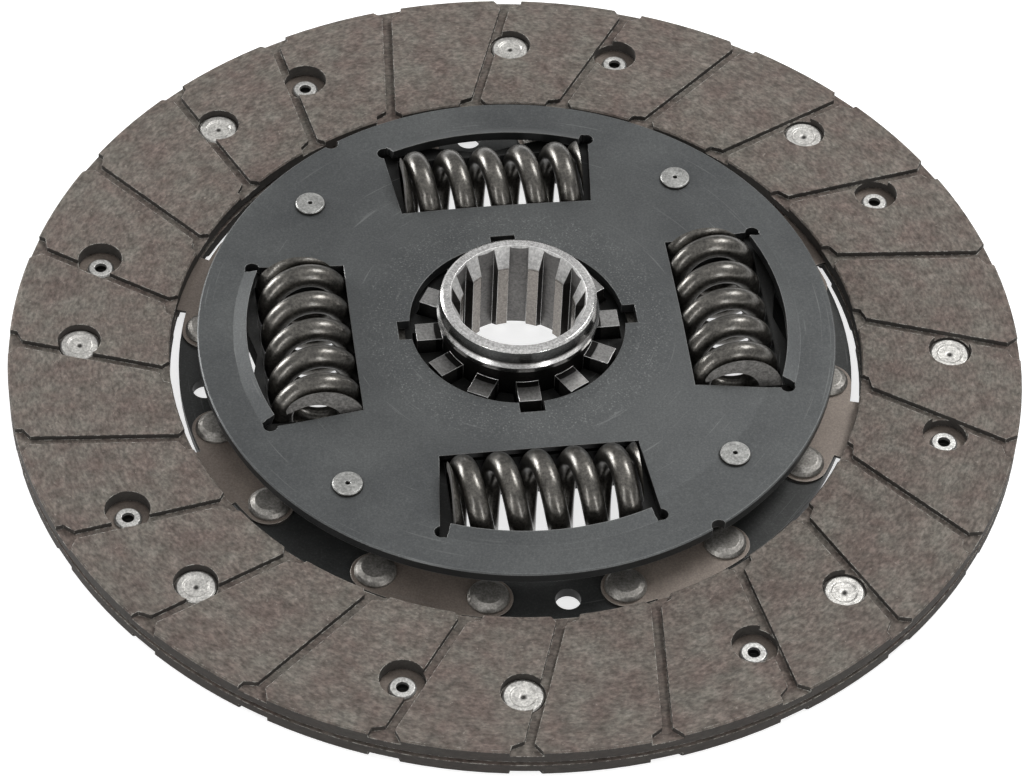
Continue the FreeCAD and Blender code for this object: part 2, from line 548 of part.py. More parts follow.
def retainer_plate():
    """The upper plate: a raised middle, four lipped windows, and a notched central hole."""
    name = "retainer_plate"
    inside, outside, cut = RETAINER_BORE, RETAINER_RADIUS, "sizes.edge_break"
    body = ring(name, [
        (inside, DISH_LOW), ("sizes.dish_inner", DISH_LOW), (DISH_OUTER, RETAINER_LOW),
        (outside, RETAINER_LOW), (outside, f"{RETAINER_TOP} - {cut}"), (f"{outside} - {cut}", RETAINER_TOP),
        (DISH_OUTER, RETAINER_TOP), ("sizes.dish_inner", DISH_TOP), (inside, DISH_TOP)])
    window_cuts(body, name, RETAINER_LOW, "sizes.retainer_sheet", "sizes.retainer_lip", True)
    depth = "sizes.retainer_sheet + 2 * sizes.retainer_dish"
    plate_holes(body, name, DISH_TOP, depth, [
        ("pin", PIN_CIRCLE, "sizes.pin_angle", "sizes.pin_tenon + sizes.fit_gap", "sizes.window_count"),
        ("notch", outside, "sizes.edge_notch_angle", "sizes.edge_notch", "2")])
    keyway = new_sketch(body, name + "_keyway", level=DISH_TOP)
    near, far = f"({inside} - sizes.cut_margin)", f"({inside} + sizes.keyway_depth)"
    half = "sizes.keyway_half"
    draw_outline(keyway, [
        (near, f"-{half}"), (far, f"-{half}"), (far, half), (near, half)])
    around(body, [pocket(body, keyway, depth, name + "_keyway_cut")], "sizes.window_count", name + "_keyways")
    return clock(body)


def hub():
    """The splined hub with its external teeth."""
    name = "hub"
    neck, collar, land = HUB_NECK, HUB_COLLAR, HUB_LAND
    foot, lead, cut = "sizes.hub_foot", LEAD_RADIUS, "sizes.edge_break"
    body = ring(name, [
        ("sizes.spline_minor", f"{foot} + sizes.lead_foot"), (lead, foot), (f"{neck} - {cut}", foot),
        (neck, f"{foot} + {cut}"), (neck, COLLAR_LOW), (f"{collar} - {cut}", COLLAR_LOW),
        (collar, f"{COLLAR_LOW} + {cut}"), (collar, f"{HUB_TOP} - sizes.hub_cone"), (land, HUB_TOP),
        (lead, HUB_TOP), ("sizes.spline_minor", f"{HUB_TOP} - sizes.lead_depth")])
    slot = new_sketch(body, name + "_slot", level=HUB_TOP, turn="sizes.spline_turn")
    reach = f"sqrt({SPLINE_MAJOR} ^ 2 - sizes.spline_slot_half ^ 2)"
    draw_outline(slot, [
        ("sizes.spline_minor / 2", "-sizes.spline_slot_half"), (reach, "-sizes.spline_slot_half"),
        (reach, "sizes.spline_slot_half"), ("sizes.spline_minor / 2", "sizes.spline_slot_half")],
        {1: ("0", "0", SPLINE_MAJOR)})
    around(body, [pocket(body, slot, "sizes.hub_length", name + "_slot_cut")], "sizes.spline_count",
           name + "_splines")
    tooth = new_sketch(body, name + "_tooth", level=TOOTH_LOW)
    tip = f"sqrt({TOOTH_TIP} ^ 2 - sizes.tooth_half ^ 2)"
    root = f"({neck} - sizes.hub_wall / 3)"
    draw_outline(tooth, [
        (root, "-sizes.tooth_half"), (tip, "-sizes.tooth_half"), (tip, "sizes.tooth_half"),
        (root, "sizes.tooth_half")], {1: ("0", "0", TOOTH_TIP)})
    around(body, [pad(body, tooth, "sizes.tooth_height", name + "_tooth_pad")], "sizes.tooth_count",
           name + "_teeth")
    return clock(body)


def hub_flange():
    """The flange between the plates: toothed bore, spring windows and notches for the stop pins."""
    name = "hub_flange"
    bore, outside = f"({HUB_NECK} + sizes.tooth_room)", FLANGE_RADIUS
    body = ring(name, [(bore, FLANGE_LOW), (outside, FLANGE_LOW), (outside, FLANGE_TOP), (bore, FLANGE_TOP)])
    depth = "sizes.flange_thickness * 1.5"
    space = new_sketch(body, name + "_space", level=FLANGE_TOP)
    low_x, high_x = f"({bore} - sizes.cut_margin)", f"({TOOTH_TIP} + sizes.tooth_room)"

    def flank(place):
        return f"({place} * tan(sizes.play) + sizes.tooth_half + sizes.running_gap)"
    draw_outline(space, [(low_x, f"-{flank(low_x)}"), (high_x, f"-{flank(high_x)}"), (high_x, flank(high_x)),
                         (low_x, flank(low_x))])
    around(body, [pocket(body, space, depth, name + "_space_cut")], "sizes.tooth_count", name + "_teeth")
    wall, near = FLANGE_WALL, f"(sizes.spring_circle - {SPRING_CAVITY})"
    window = new_sketch(body, name + "_window", level=FLANGE_TOP)
    draw_outline(window, [
        (near, f"-{FLANGE_HALF}"), (wall, f"-{FLANGE_HALF}"), (wall, FLANGE_HALF), (near, FLANGE_HALF)])
    around(body, [pocket(body, window, depth, name + "_window_cut")], "sizes.window_count", name + "_windows")
    bar, wide = f"({wall} + sizes.flange_bar)", "sizes.window_half"
    spread = f"({bar} + {wide} * tan(sizes.flange_nick))"
    beyond = f"({spread} + 2 * sizes.cut_margin)"
    nick = new_sketch(body, name + "_nick", level=FLANGE_TOP)
    draw_outline(nick, [
        (bar, "0"), (spread, f"-{wide}"), (beyond, f"-{wide}"), (beyond, wide), (spread, wide)])
    around(body, [pocket(body, nick, depth, name + "_nick_cut")], "sizes.window_count", name + "_nicks")
    notch = new_sketch(body, name + "_notch", level=FLANGE_TOP, turn="sizes.pin_angle")
    half = f"({PIN_CIRCLE} * sin(sizes.twist) + sizes.pin_shoulder + 3 * sizes.running_gap)"
    floor = f"({PIN_CIRCLE} - sizes.pin_shoulder - sizes.notch_room)"
    far = f"({outside} + sizes.cut_margin)"
    draw_outline(notch, [(floor, f"-{half}"), (far, f"-{half}"), (far, half), (floor, half)])
    around(body, [pocket(body, notch, depth, name + "_notch_cut")], "sizes.window_count", name + "_notches")
    return clock(body)


def damper_spring(index):
    """A coil spring with closed, ground ends, made of half turns that meet in line."""
    coil = number("sizes.spring_radius - sizes.spring_wire / 2")
    wire = number("sizes.spring_wire / 2")
    pitch, turns = number("sizes.spring_pitch"), int(number("sizes.spring_turns"))
    closed, length = number("sizes.spring_closed"), number(f"2 * {SPRING_HALF}")
    centre = FreeCAD.Vector(number("sizes.spring_circle"), 0, number(SPRING_AXIS))
    along, up = FreeCAD.Vector(0, 1, 0), FreeCAD.Vector(0, 0, 1)
    across = along.cross(up)
    crest = pitch * turns / 2
    stops = [-crest - closed * half / 2 for half in (3, 2, 1)]
    stops += [-crest + pitch * half / 2 for half in range(2 * turns + 1)]
    stops += [crest + closed * half / 2 for half in (1, 2, 3)]
    side = -1
    solid = None
    for start, finish in zip(stops, stops[1:]):
        from_point = centre + along * start + up * coil * side
        to_point = centre + along * finish - up * coil * side
        middle = (from_point + to_point) * 0.5
        turning = (from_point - middle).cross(across * side).normalize()
        section = Part.Face(Part.Wire(Part.makeCircle(wire, from_point, across)))
        half_turn = section.revolve(middle, turning, 180)
        solid = half_turn if solid is None else solid.fuse(half_turn)
        side = -side
    ground = Part.makeBox(4 * coil, length, 4 * coil, centre - FreeCAD.Vector(2 * coil, length / 2, 2 * coil))
    spring = doc.addObject("Part::Feature", f"damper_spring_{index + 1}")
    spring.Label = spring.Name
    spring.Shape = solid.common(ground)
    return clock(spring, f"{index} * 360 / sizes.window_count")


LOW_RIVET = "(sizes.segment_tab_angle + sizes.segment_skew - sizes.segment_spread)"
HIGH_RIVET = "(sizes.segment_tab_angle + sizes.segment_skew + sizes.segment_spread)"


def facing_rivets(name, angle, seat, web_top, sheet_far, outward):
    """Half-hollow rivets: a dished head in one ring's recess and a rolled tail on the segments."""
    shank, hollow, mark = "sizes.rivet_shank", "sizes.rivet_hollow", "sizes.rivet_mark"
    head, tail = "sizes.rivet_head", "sizes.rivet_tail"
    rise, roll = "sizes.rivet_head_height", "sizes.rivet_tail_height"
    edge, rim = "sizes.rivet_head_edge", "sizes.rivet_head_rim"
    tail_end, tail_side = f"{sheet_far} - {outward} * {roll}", f"{sheet_far} - {outward} * {roll} / 2"
    crown, side = f"{seat} + {outward} * {rise}", f"{seat} + {outward} * {rise} * 0.6"
    floor = f"{tail_end} + {outward} * sizes.rivet_hollow_depth"
    half_profile = [
        ("0", floor), (hollow, floor), (hollow, tail_end), (f"{tail} - {edge}", tail_end), (tail, tail_side),
        (tail, sheet_far), (shank, sheet_far), (shank, seat), (head, seat), (head, side),
        (f"{head} - {edge}", crown), (f"{head} - {rim}", crown), (f"{head} - {rim} - {edge}", side),
        (mark, side), ("0", f"{side} - {outward} * sizes.rivet_mark_depth")]
    body = new_body(name)
    sketch = new_sketch(body, name + "_profile", "XZ_Plane")
    circle = RIVET_CIRCLE
    draw_outline(sketch, [(f"{circle} + {radius}", level) for radius, level in half_profile])
    axis_line = sketch.addGeometry(Part.LineSegment(
        FreeCAD.Vector(number(circle), 0, 0), FreeCAD.Vector(number(circle), 1, 0)), True)
    pin_point(sketch, axis_line, 1, circle, "0")
    pin_point(sketch, axis_line, 2, circle, "1")
    rivet = turned(body, sketch, name + "_turned", (sketch, ["Axis0"]))
    around(body, [rivet], "sizes.rivet_sets", name + "_around")
    return clock(body, angle)


def stop_pins():
    """Shouldered pins that hold the plates apart and stop the flange."""
    tenon, head, rise = "sizes.pin_tenon", "sizes.pin_head", "sizes.pin_head_height"
    dimple, edge = "sizes.pin_dimple", "sizes.pin_head_edge"
    body = rivet_group("stop_pins", [(PIN_CIRCLE, "0")], [
        ("0", f"{CARRIER_LOW} - {rise}"), (f"{head} - {edge}", f"{CARRIER_LOW} - {rise}"),
        (head, f"{CARRIER_LOW} - {rise} * 0.6"), (head, CARRIER_LOW), (tenon, CARRIER_LOW),
        (tenon, CARRIER_TOP), ("sizes.pin_shoulder", CARRIER_TOP), ("sizes.pin_shoulder", RETAINER_LOW),
        (tenon, RETAINER_LOW), (tenon, RETAINER_TOP), (head, RETAINER_TOP),
        (head, f"{RETAINER_TOP} + {rise} * 0.6"), (f"{head} - {edge}", f"{RETAINER_TOP} + {rise}"),
        (dimple, f"{RETAINER_TOP} + {rise}"), ("0", f"{RETAINER_TOP} - {dimple}")], "sizes.window_count")
    return clock(body, "sizes.pin_angle")


def segment_rivets():
    """Domed rivets that hold the segment tabs on the carrier plate, two to a tab."""
    shank, head, foot = "sizes.tab_rivet_shank", "sizes.tab_rivet_head", "sizes.tab_rivet_foot"
    seat = f"({CARRIER_TOP} + sizes.segment_sheet)"
    rise, drop = "sizes.tab_rivet_height", "sizes.tab_rivet_foot_height"
    half_profile = [
        ("0", f"{CARRIER_LOW} - {drop}"), (f"{foot} - sizes.tab_rivet_edge", f"{CARRIER_LOW} - {drop}"),
        (foot, f"{CARRIER_LOW} - {drop} * 0.5"), (foot, CARRIER_LOW), (shank, CARRIER_LOW), (shank, seat),
        (head, seat), (head, f"{seat} + {rise} * 0.3"), (f"{head} * 0.88", f"{seat} + {rise} * 0.7"),
        (f"{head} * 0.66", f"{seat} + {rise}"), ("0", f"{seat} + {rise}")]
    body = new_body("segment_rivets")
    rivets = []
    for part, angle in (("left", "sizes.tab_half"), ("right", "-sizes.tab_half")):
        place = TAB_CIRCLE
        sketch = new_sketch(body, f"segment_rivets_{part}", "XZ_Plane")
        turn_about_axis(sketch, angle)
        draw_outline(sketch, [(f"{place} + {radius}", level) for radius, level in half_profile])
        rivets.append(turned(body, sketch, f"segment_rivets_{part}_turned", (sketch, ["Edge11"])))
    around(body, rivets, "sizes.segment_count", "segment_rivets_around")
    return clock(body, "sizes.segment_tab_angle")


def friction_pack():
    """The washers and the cone spring that damp the flange, and the bush that centres the plates."""
    inner, outer = WASHER_INNER, WASHER_OUTER
    lower_top = f"({CARRIER_TOP} + sizes.lower_ring)"
    far = f"({outer} + sizes.cone_reach)"
    seat = f"({DISH_LOW} - sizes.retainer_dish * ({far} - sizes.dish_inner) / sizes.dish_width)"
    pieces = [
        ring("friction_washer_lower", [(inner, CARRIER_TOP), (outer, CARRIER_TOP), (outer, lower_top),
                                       (inner, lower_top)]),
        ring("friction_washer_upper", [(inner, WASHER_LOW), (outer, WASHER_LOW), (outer, WASHER_TOP),
                                       (inner, WASHER_TOP)]),
        ring("cone_spring", [(inner, WASHER_TOP), (far, f"{seat} - sizes.cone_sheet"),
                             (far, seat), (inner, f"{WASHER_TOP} + sizes.cone_sheet")]),
        ring("centring_bush", [
            (BUSH_SLEEVE, CARRIER_LOW), (BUSH_OUTER, CARRIER_LOW), (BUSH_OUTER, CARRIER_TOP),
            (BUSH_FLANGE, CARRIER_TOP), (BUSH_FLANGE, lower_top), (BUSH_SLEEVE, lower_top)])]
    return [clock(piece) for piece in pieces]


WEB = "(sizes.facing_thickness - sizes.counterbore_depth)"
pieces = [
    friction_ring("facing_upper", UPPER_RING_LOW, True),
    friction_ring("facing_lower", LOWER_FACE, False),
    facing_rivets("facing_rivets_upper", HIGH_RIVET, f"({UPPER_RING_LOW} + {WEB})", UPPER_RING_LOW,
                  f"({CARRIER_TOP} + {PADDLE_RISE})", "1"),
    facing_rivets("facing_rivets_lower", LOW_RIVET, f"({CARRIER_TOP} - {WEB})", CARRIER_TOP,
                  f"({CARRIER_TOP} + sizes.segment_sheet)", "(-1)"),
    carrier_plate(),
    retainer_plate(),
    segment_rivets(),
    stop_pins(),
    hub_flange(),
    hub()]
pieces += [cushion_segment(index) for index in range(int(number("sizes.segment_count")))]
pieces += [damper_spring(index) for index in range(int(number("sizes.window_count")))]
pieces += friction_pack()
doc.recompute()

# Every object must have worked out before anything is written
for item in doc.Objects:
    if "Invalid" in item.State or "Error" in item.State:
        raise RuntimeError(f"{item.Name} failed: {item.State}")
for piece in pieces:
    shape = piece.Shape
    if shape.isNull() or not shape.isValid() or not shape.Solids:
        raise RuntimeError(f"{piece.Label} has no valid solid")
for piece in pieces:
    piece.Shape.exportStep(f"parts/{piece.Label}.step")
    print(f"{piece.Label}: {len(piece.Shape.Solids)} solid(s), {piece.Shape.Volume:.0f} mm3")
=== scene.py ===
# %% [markdown]
# # A clutch disc, dressed for its portrait
# A clutch disc is a flat sandwich. Two friction rings are riveted to thin wavy springs, those
# springs are riveted to a carrier plate, and a splined hub sits in the middle behind four coil
# springs that soften each gear change. The solids come from the frame. This lesson gives them
# their finishes: pressed fibre, oiled plate, black spring wire and bright turned steel. It also
# makes three things better than the solids have them: the coil springs, the hub with its splines,
# and the curved seats in the flange that the springs run along.

# %% Load the frame
import math

import bmesh
import bpy
from mathutils import Matrix, Vector


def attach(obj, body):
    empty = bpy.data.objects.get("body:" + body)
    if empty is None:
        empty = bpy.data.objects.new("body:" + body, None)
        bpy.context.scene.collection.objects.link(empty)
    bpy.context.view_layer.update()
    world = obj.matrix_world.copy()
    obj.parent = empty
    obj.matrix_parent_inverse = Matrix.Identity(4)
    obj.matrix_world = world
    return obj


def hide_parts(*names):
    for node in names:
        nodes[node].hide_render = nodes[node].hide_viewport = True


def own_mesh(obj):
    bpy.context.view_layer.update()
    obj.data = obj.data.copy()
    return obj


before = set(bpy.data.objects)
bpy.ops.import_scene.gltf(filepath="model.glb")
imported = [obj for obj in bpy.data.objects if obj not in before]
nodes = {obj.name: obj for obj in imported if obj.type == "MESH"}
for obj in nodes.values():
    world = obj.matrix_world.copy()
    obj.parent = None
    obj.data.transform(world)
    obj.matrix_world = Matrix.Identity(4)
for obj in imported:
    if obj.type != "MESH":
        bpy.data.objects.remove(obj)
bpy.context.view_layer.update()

# %% [markdown]
# ## Millimetres and screen colours
# The frame is in metres, and so is everything that Blender makes round it. Sizes are written in
# millimetres all the same, because that is how a maker reads them off a drawing, and `MM` turns
# them into metres. Colours are written from 0 to 255, as they show on a screen, and `srgb` takes
# them to the linear values that a shader works with.

# %% Millimetres and screen colours
MM = 0.001


def srgb(red, green, blue):
    """A colour given as it shows on a screen, from 0 to 255, in the shader's linear values."""
    channels = []
    for value in (red, green, blue):
        share = value / 255
        channels.append(share / 12.92 if share <= 0.04045 else ((share + 0.055) / 1.055) ** 2.4)
    return (*channels, 1.0)


print("middle grey of a screen, for a shader:", round(srgb(128, 128, 128)[0], 3))

# %% [markdown]
# ## Node helpers
# Materials are built from the same few steps each time: make a node, set a value, join two
# sockets. Small helpers keep the recipes short, so that a recipe reads as a list of effects.

# %% Node helpers
def add(tree, kind, **values):
    """A node of a kind, with its properties set by name, and its inputs by name after in_."""
    node = tree.nodes.new(kind)
    for key, value in values.items():
        if key.startswith("in_"):
            node.inputs[key.removeprefix("in_")].default_value = value
        else:
            setattr(node, key, value)
    return node


def join(tree, start, end):
    """A link from an output to an input. Each is a socket, or a node with its first one."""
    source = start.outputs[0] if hasattr(start, "outputs") else start
    target = end.inputs[0] if hasattr(end, "inputs") else end
    tree.links.new(source, target)


def give(tree, value, socket):
    """A number or a colour put on a socket, or a link from an output to it."""
    if isinstance(value, (int, float, tuple)):
        socket.default_value = value
    else:
        join(tree, value, socket)


print("node helpers:", [helper.__name__ for helper in (add, join, give)])

# %% [markdown]
# ## Steps on values, vectors and colours
# Four nodes do most of the work in a finish: sums, sums of vectors, mixes of colours, and moves
# of a value from one range to another. A Mix node has sockets of the same names for numbers,
# vectors and colours, so the ones for colours are picked by their place in the list.

# %% Steps on values, vectors and colours
MIX_SHARE, MIX_FIRST, MIX_SECOND, MIX_RESULT = 0, 6, 7, 2


def math_node(tree, operation, first, second=None, clamp=False):
    """A sum, product or other step on one or two values or sockets."""
    node = add(tree, "ShaderNodeMath", operation=operation, use_clamp=clamp)
    give(tree, first, node.inputs[0])
    if second is not None:
        give(tree, second, node.inputs[1])
    return node.outputs[0]


def vector_node(tree, operation, first, second=None):
    """A step on one or two vectors, as a node, since its result may be a vector or a value."""
    node = add(tree, "ShaderNodeVectorMath", operation=operation)
    join(tree, first, node)
    if second is not None:
        join(tree, second, node.inputs[1])
    return node


def mixed(tree, share, first, second, blend="MIX"):
    """Two colours mixed by a share. Each is a colour or a socket."""
    node = add(tree, "ShaderNodeMix", data_type="RGBA", blend_type=blend)
    for index, value in ((MIX_SHARE, share), (MIX_FIRST, first), (MIX_SECOND, second)):
        give(tree, value, node.inputs[index])
    return node.outputs[MIX_RESULT]


def spread_to(tree, value, low, high, from_low=0.0, from_high=1.0):
    """A value moved from one range to another. The ends of the first are numbers or sockets."""
    node = add(tree, "ShaderNodeMapRange")
    for label, number in (("Value", value), ("From Min", from_low), ("From Max", from_high),
                          ("To Min", low), ("To Max", high)):
        give(tree, number, node.inputs[label])
    return node.outputs[0]


print("steps:", [step.__name__ for step in (math_node, vector_node, mixed, spread_to)])

# %% [markdown]
# ## Groups and places
# An effect that several finishes share is a node group, built once. Most of them need to know
# where a point of the surface lies, and Object coordinates tell that: the disc's axis is their
# third direction, so the length of the first two alone is the distance from the axis.

# %% Groups and places
FLOAT = "NodeSocketFloat"
COLOUR = "NodeSocketColor"
VECTOR = "NodeSocketVector"


def new_group(name, inputs, outputs):
    """A shader node group with named inputs, each with its default, and named outputs."""
    group = bpy.data.node_groups.new(name, "ShaderNodeTree")
    for label, kind, default in inputs:
        group.interface.new_socket(label, in_out="INPUT", socket_type=kind).default_value = default
    for label, kind in outputs:
        group.interface.new_socket(label, in_out="OUTPUT", socket_type=kind)
    return group, group.nodes.new("NodeGroupInput"), group.nodes.new("NodeGroupOutput")


def place_round_axis(tree):
    """A point's flat place seen along the axis, its distance from the axis, and its level."""
    parts = add(tree, "ShaderNodeSeparateXYZ")
    join(tree, add(tree, "ShaderNodeTexCoord").outputs["Object"], parts)
    flat = add(tree, "ShaderNodeCombineXYZ")
    join(tree, parts.outputs[0], flat.inputs[0])
    join(tree, parts.outputs[1], flat.inputs[1])
    return flat, vector_node(tree, "LENGTH", flat).outputs["Value"], parts.outputs[2]


def noise_at(tree, scale, detail, roughness):
    """A noise over the piece's own coordinates."""
    noise = add(tree, "ShaderNodeTexNoise", in_Detail=detail, in_Roughness=roughness)
    join(tree, add(tree, "ShaderNodeTexCoord").outputs["Object"], noise.inputs["Vector"])
    join(tree, scale, noise.inputs["Scale"])
    return noise.outputs[0]


print("kinds of group sockets:", FLOAT, COLOUR, VECTOR)

# %% [markdown]
# ## Effect: grain that follows the ring
# Everything on this disc was wound, turned or rubbed round its axis. A plain noise has no
# direction, so the grain group feeds the noise with a place on a unit circle, scaled by `Along`.
# To that it adds the distance from the axis and the level, scaled by `Across`. The pattern closes
# on itself after a full turn, which a plain angle would not do.

# %% Effect: ring grain
def build_ring_grain():
    group, given, result = new_group(
        "ring_grain", [("Along", FLOAT, 60.0), ("Across", FLOAT, 1200.0), ("Detail", FLOAT, 3.0)],
        [("Value", FLOAT)])
    flat, radius, level = place_round_axis(group)
    circle = vector_node(group, "SCALE", vector_node(group, "NORMALIZE", flat))
    join(group, given.outputs["Along"], circle.inputs["Scale"])
    reach = math_node(group, "ADD", radius, level)
    lifted = add(group, "ShaderNodeCombineXYZ")
    join(group, math_node(group, "MULTIPLY", reach, given.outputs["Across"]), lifted.inputs[2])
    noise = add(group, "ShaderNodeTexNoise", in_Scale=1.0, in_Roughness=0.6)
    join(group, vector_node(group, "ADD", circle, lifted), noise.inputs["Vector"])
    join(group, given.outputs["Detail"], noise.inputs["Detail"])
    join(group, noise, result)
    return group


RING_GRAIN = build_ring_grain()
print("effect:", RING_GRAIN.name)

# %% [markdown]
# ## Effect: cloudy colour
# Oil, handling and pressing leave soft clouds of lighter and darker colour. The group mixes two
# colours by a noise whose contrast is set by a map range, which gives flat patches with soft
# borders in place of even grey.

# %% Effect: cloudy colour
def build_clouds():
    group, given, result = new_group(
        "clouds", [("Scale", FLOAT, 60.0), ("Low", FLOAT, 0.35), ("High", FLOAT, 0.65),
                   ("First", COLOUR, (0, 0, 0, 1)), ("Second", COLOUR, (1, 1, 1, 1))],
        [("Colour", COLOUR), ("Mask", FLOAT)])
    noise = noise_at(group, given.outputs["Scale"], detail=5.0, roughness=0.62)
    mask = spread_to(group, noise, 0.0, 1.0, given.outputs["Low"], given.outputs["High"])
    colour = mixed(group, mask, given.outputs["First"], given.outputs["Second"])
    join(group, colour, result.inputs["Colour"])
    join(group, mask, result.inputs["Mask"])
    return group


CLOUDS = build_clouds()
print("effect:", CLOUDS.name)

# %% [markdown]
# ## Effect: corners and painted edge highlights
# A real corner is never razor sharp. It is rolled or rubbed, and it catches the light as a thin
# line. The Bevel node rounds the normal near a corner without touching the mesh, and the group
# gives that normal out. Where it leaves the face's own, there is a corner, so their difference
# is the corner mask. The finishes paint a bright line on it, as a painted highlight, on hollow
# corners as well as on outer ones.

# %% Effect: corners and painted edge highlights
EDGE_SAMPLES = 6


def build_edge_glint():
    group, given, result = new_group(
        "edge_glint", [("Radius", FLOAT, 0.3 * MM), ("Gain", FLOAT, 4.0)],
        [("Mask", FLOAT), ("Normal", VECTOR)])
    rounded = add(group, "ShaderNodeBevel", samples=EDGE_SAMPLES)
    join(group, given.outputs["Radius"], rounded.inputs["Radius"])
    own_normal = add(group, "ShaderNodeNewGeometry").outputs["Normal"]
    agreement = vector_node(group, "DOT_PRODUCT", rounded, own_normal)
    difference = math_node(group, "SUBTRACT", 1.0, agreement.outputs["Value"])
    # The corner mask, on which the finishes paint bright lines as painted highlights.
    mask = math_node(group, "MULTIPLY", difference, given.outputs["Gain"], clamp=True)
    join(group, mask, result.inputs["Mask"])
    join(group, rounded, result.inputs["Normal"])
    return group


EDGE_GLINT = build_edge_glint()
print("effect:", EDGE_GLINT.name)

# %% [markdown]
# ## Effect: speckle
# Cast, tumbled and pressed surfaces sparkle with tiny pits and crumbs. The group gives a fine
# noise as a value for bump and colour, plus a mask of rare bright crumbs.

# %% Effect: speckle
CRUMB_GAIN = 12.0


def build_speckle():
    group, given, result = new_group(
        "speckle", [("Scale", FLOAT, 1500.0), ("Rarity", FLOAT, 0.68)],
        [("Value", FLOAT), ("Crumbs", FLOAT)])
    noise = noise_at(group, given.outputs["Scale"], detail=4.0, roughness=0.7)
    over = math_node(group, "SUBTRACT", noise, given.outputs["Rarity"])
    crumbs = math_node(group, "MULTIPLY", over, CRUMB_GAIN, clamp=True)
    join(group, noise, result.inputs["Value"])
    join(group, crumbs, result.inputs["Crumbs"])
    return group


SPECKLE = build_speckle()
print("effect:", SPECKLE.name)

# %% [markdown]
# ## Effect: walls
# The group is 1 where a face stands upright and 0 where it lies flat. The finishes paint the
# walls dark with it, as painted shade.

# %% Effect: walls
WALL_GAIN = 10.0


def build_walls():
    group, given, result = new_group("walls", [("Lean", FLOAT, 0.5)], [("Mask", FLOAT)])
    parts = add(group, "ShaderNodeSeparateXYZ")
    join(group, add(group, "ShaderNodeNewGeometry").outputs["True Normal"], parts)
    flatness = math_node(group, "ABSOLUTE", parts.outputs[2])
    short = math_node(group, "SUBTRACT", given.outputs["Lean"], flatness)
    join(group, math_node(group, "MULTIPLY", short, WALL_GAIN, clamp=True), result.inputs["Mask"])
    return group


WALLS = build_walls()
print("effect:", WALLS.name)

# %% [markdown]
# ## Effect: bands round the axis
# Some places on a turned or pressed part differ only by how far they are from the axis: a sheared
# rim, a rubbed ring, the teeth below a collar. The group is 1 inside a band of radius and below a
# level, and 0 elsewhere, with a soft border.

# %% Effect: bands round the axis
def build_ring_band():
    group, given, result = new_group(
        "ring_band", [("Inner", FLOAT, 0.0), ("Outer", FLOAT, 1.0), ("Level", FLOAT, 1.0),
                      ("Soft", FLOAT, 0.1 * MM)], [("Mask", FLOAT)])
    _, radius, level = place_round_axis(group)
    past_inner = math_node(group, "SUBTRACT", radius, given.outputs["Inner"])
    short_of_outer = math_node(group, "SUBTRACT", given.outputs["Outer"], radius)
    below = math_node(group, "SUBTRACT", given.outputs["Level"], level)
    nearest = math_node(group, "MINIMUM", math_node(group, "MINIMUM", past_inner, short_of_outer), below)
    share = math_node(group, "DIVIDE", nearest, given.outputs["Soft"], clamp=True)
    join(group, share, result.inputs["Mask"])
    return group


RING_BAND = build_ring_band()
print("effect:", RING_BAND.name)

# %% [markdown]
# ## Placing effects in a material
# A finish is a Principled shader with effects in front of its sockets. What is the same all over
# a surface is a plain number on the shader, and what changes over it comes through nodes. A band
# that should stop at a lower level too is made by taking away the part below that level.

# %% Placing effects in a material
def new_material(name, metallic, roughness, **sockets):
    """A material with a Principled shader and its plain values."""
    material = bpy.data.materials.new(name)
    material.use_nodes = True
    tree = material.node_tree
    shader = next(node for node in tree.nodes if node.type == "BSDF_PRINCIPLED")
    shader.inputs["Metallic"].default_value = metallic
    shader.inputs["Roughness"].default_value = roughness
    for label, value in sockets.items():
        shader.inputs[label.replace("_", " ")].default_value = value
    return material, tree, shader


def effect(tree, group, **values):
    """A group node in a material, with its named inputs set."""
    node = tree.nodes.new("ShaderNodeGroup")
    node.node_tree = group
    for key, value in values.items():
        node.inputs[key].default_value = value
    return node


def band(tree, **values):
    """The mask of one band round the axis."""
    return effect(tree, RING_BAND, **values).outputs["Mask"]


def above(tree, mask, level, soft):
    """A mask without the part that lies below a level."""
    return math_node(tree, "SUBTRACT", mask, band(tree, Level=level, Soft=soft), clamp=True)


print("effects to place:", [group.name for group in bpy.data.node_groups])

# %% [markdown]
# ## Layers of a finish
# A finish is built up in layers: a colour laid over another where a mask says so, a colour
# grained by a noise, and a bump. A noise seldom leaves the middle of its range, so only that
# part, `NOISE_SPAN`, is spread when it grains a colour.

# %% Layers of a finish
NOISE_SPAN = (0.34, 0.66)


def laid_over(tree, base, colour, mask, strength=1.0):
    """A colour laid over another where a mask says so. The strength is a number or a socket."""
    share = mask if strength == 1.0 else math_node(tree, "MULTIPLY", mask, strength)
    return mixed(tree, share, base, colour)


def grained(tree, colour, noise, low, high, span=NOISE_SPAN):
    """A colour multiplied by a grey that follows a noise from low to high."""
    level = spread_to(tree, noise.outputs[0], low, high, *span)
    grey = add(tree, "ShaderNodeCombineColor")
    for channel in grey.inputs:
        join(tree, level, channel)
    return mixed(tree, 1.0, colour, grey.outputs[0], "MULTIPLY")


def bumped(tree, height, strength, distance, normal=None):
    """A bump from a height, laid over another normal if there is one."""
    node = add(tree, "ShaderNodeBump", in_Strength=strength, in_Distance=distance)
    join(tree, height, node.inputs["Height"])
    if normal is not None:
        join(tree, normal, node.inputs["Normal"])
    return node.outputs[0]


print("a noise is spread from", NOISE_SPAN[0], "to", NOISE_SPAN[1])
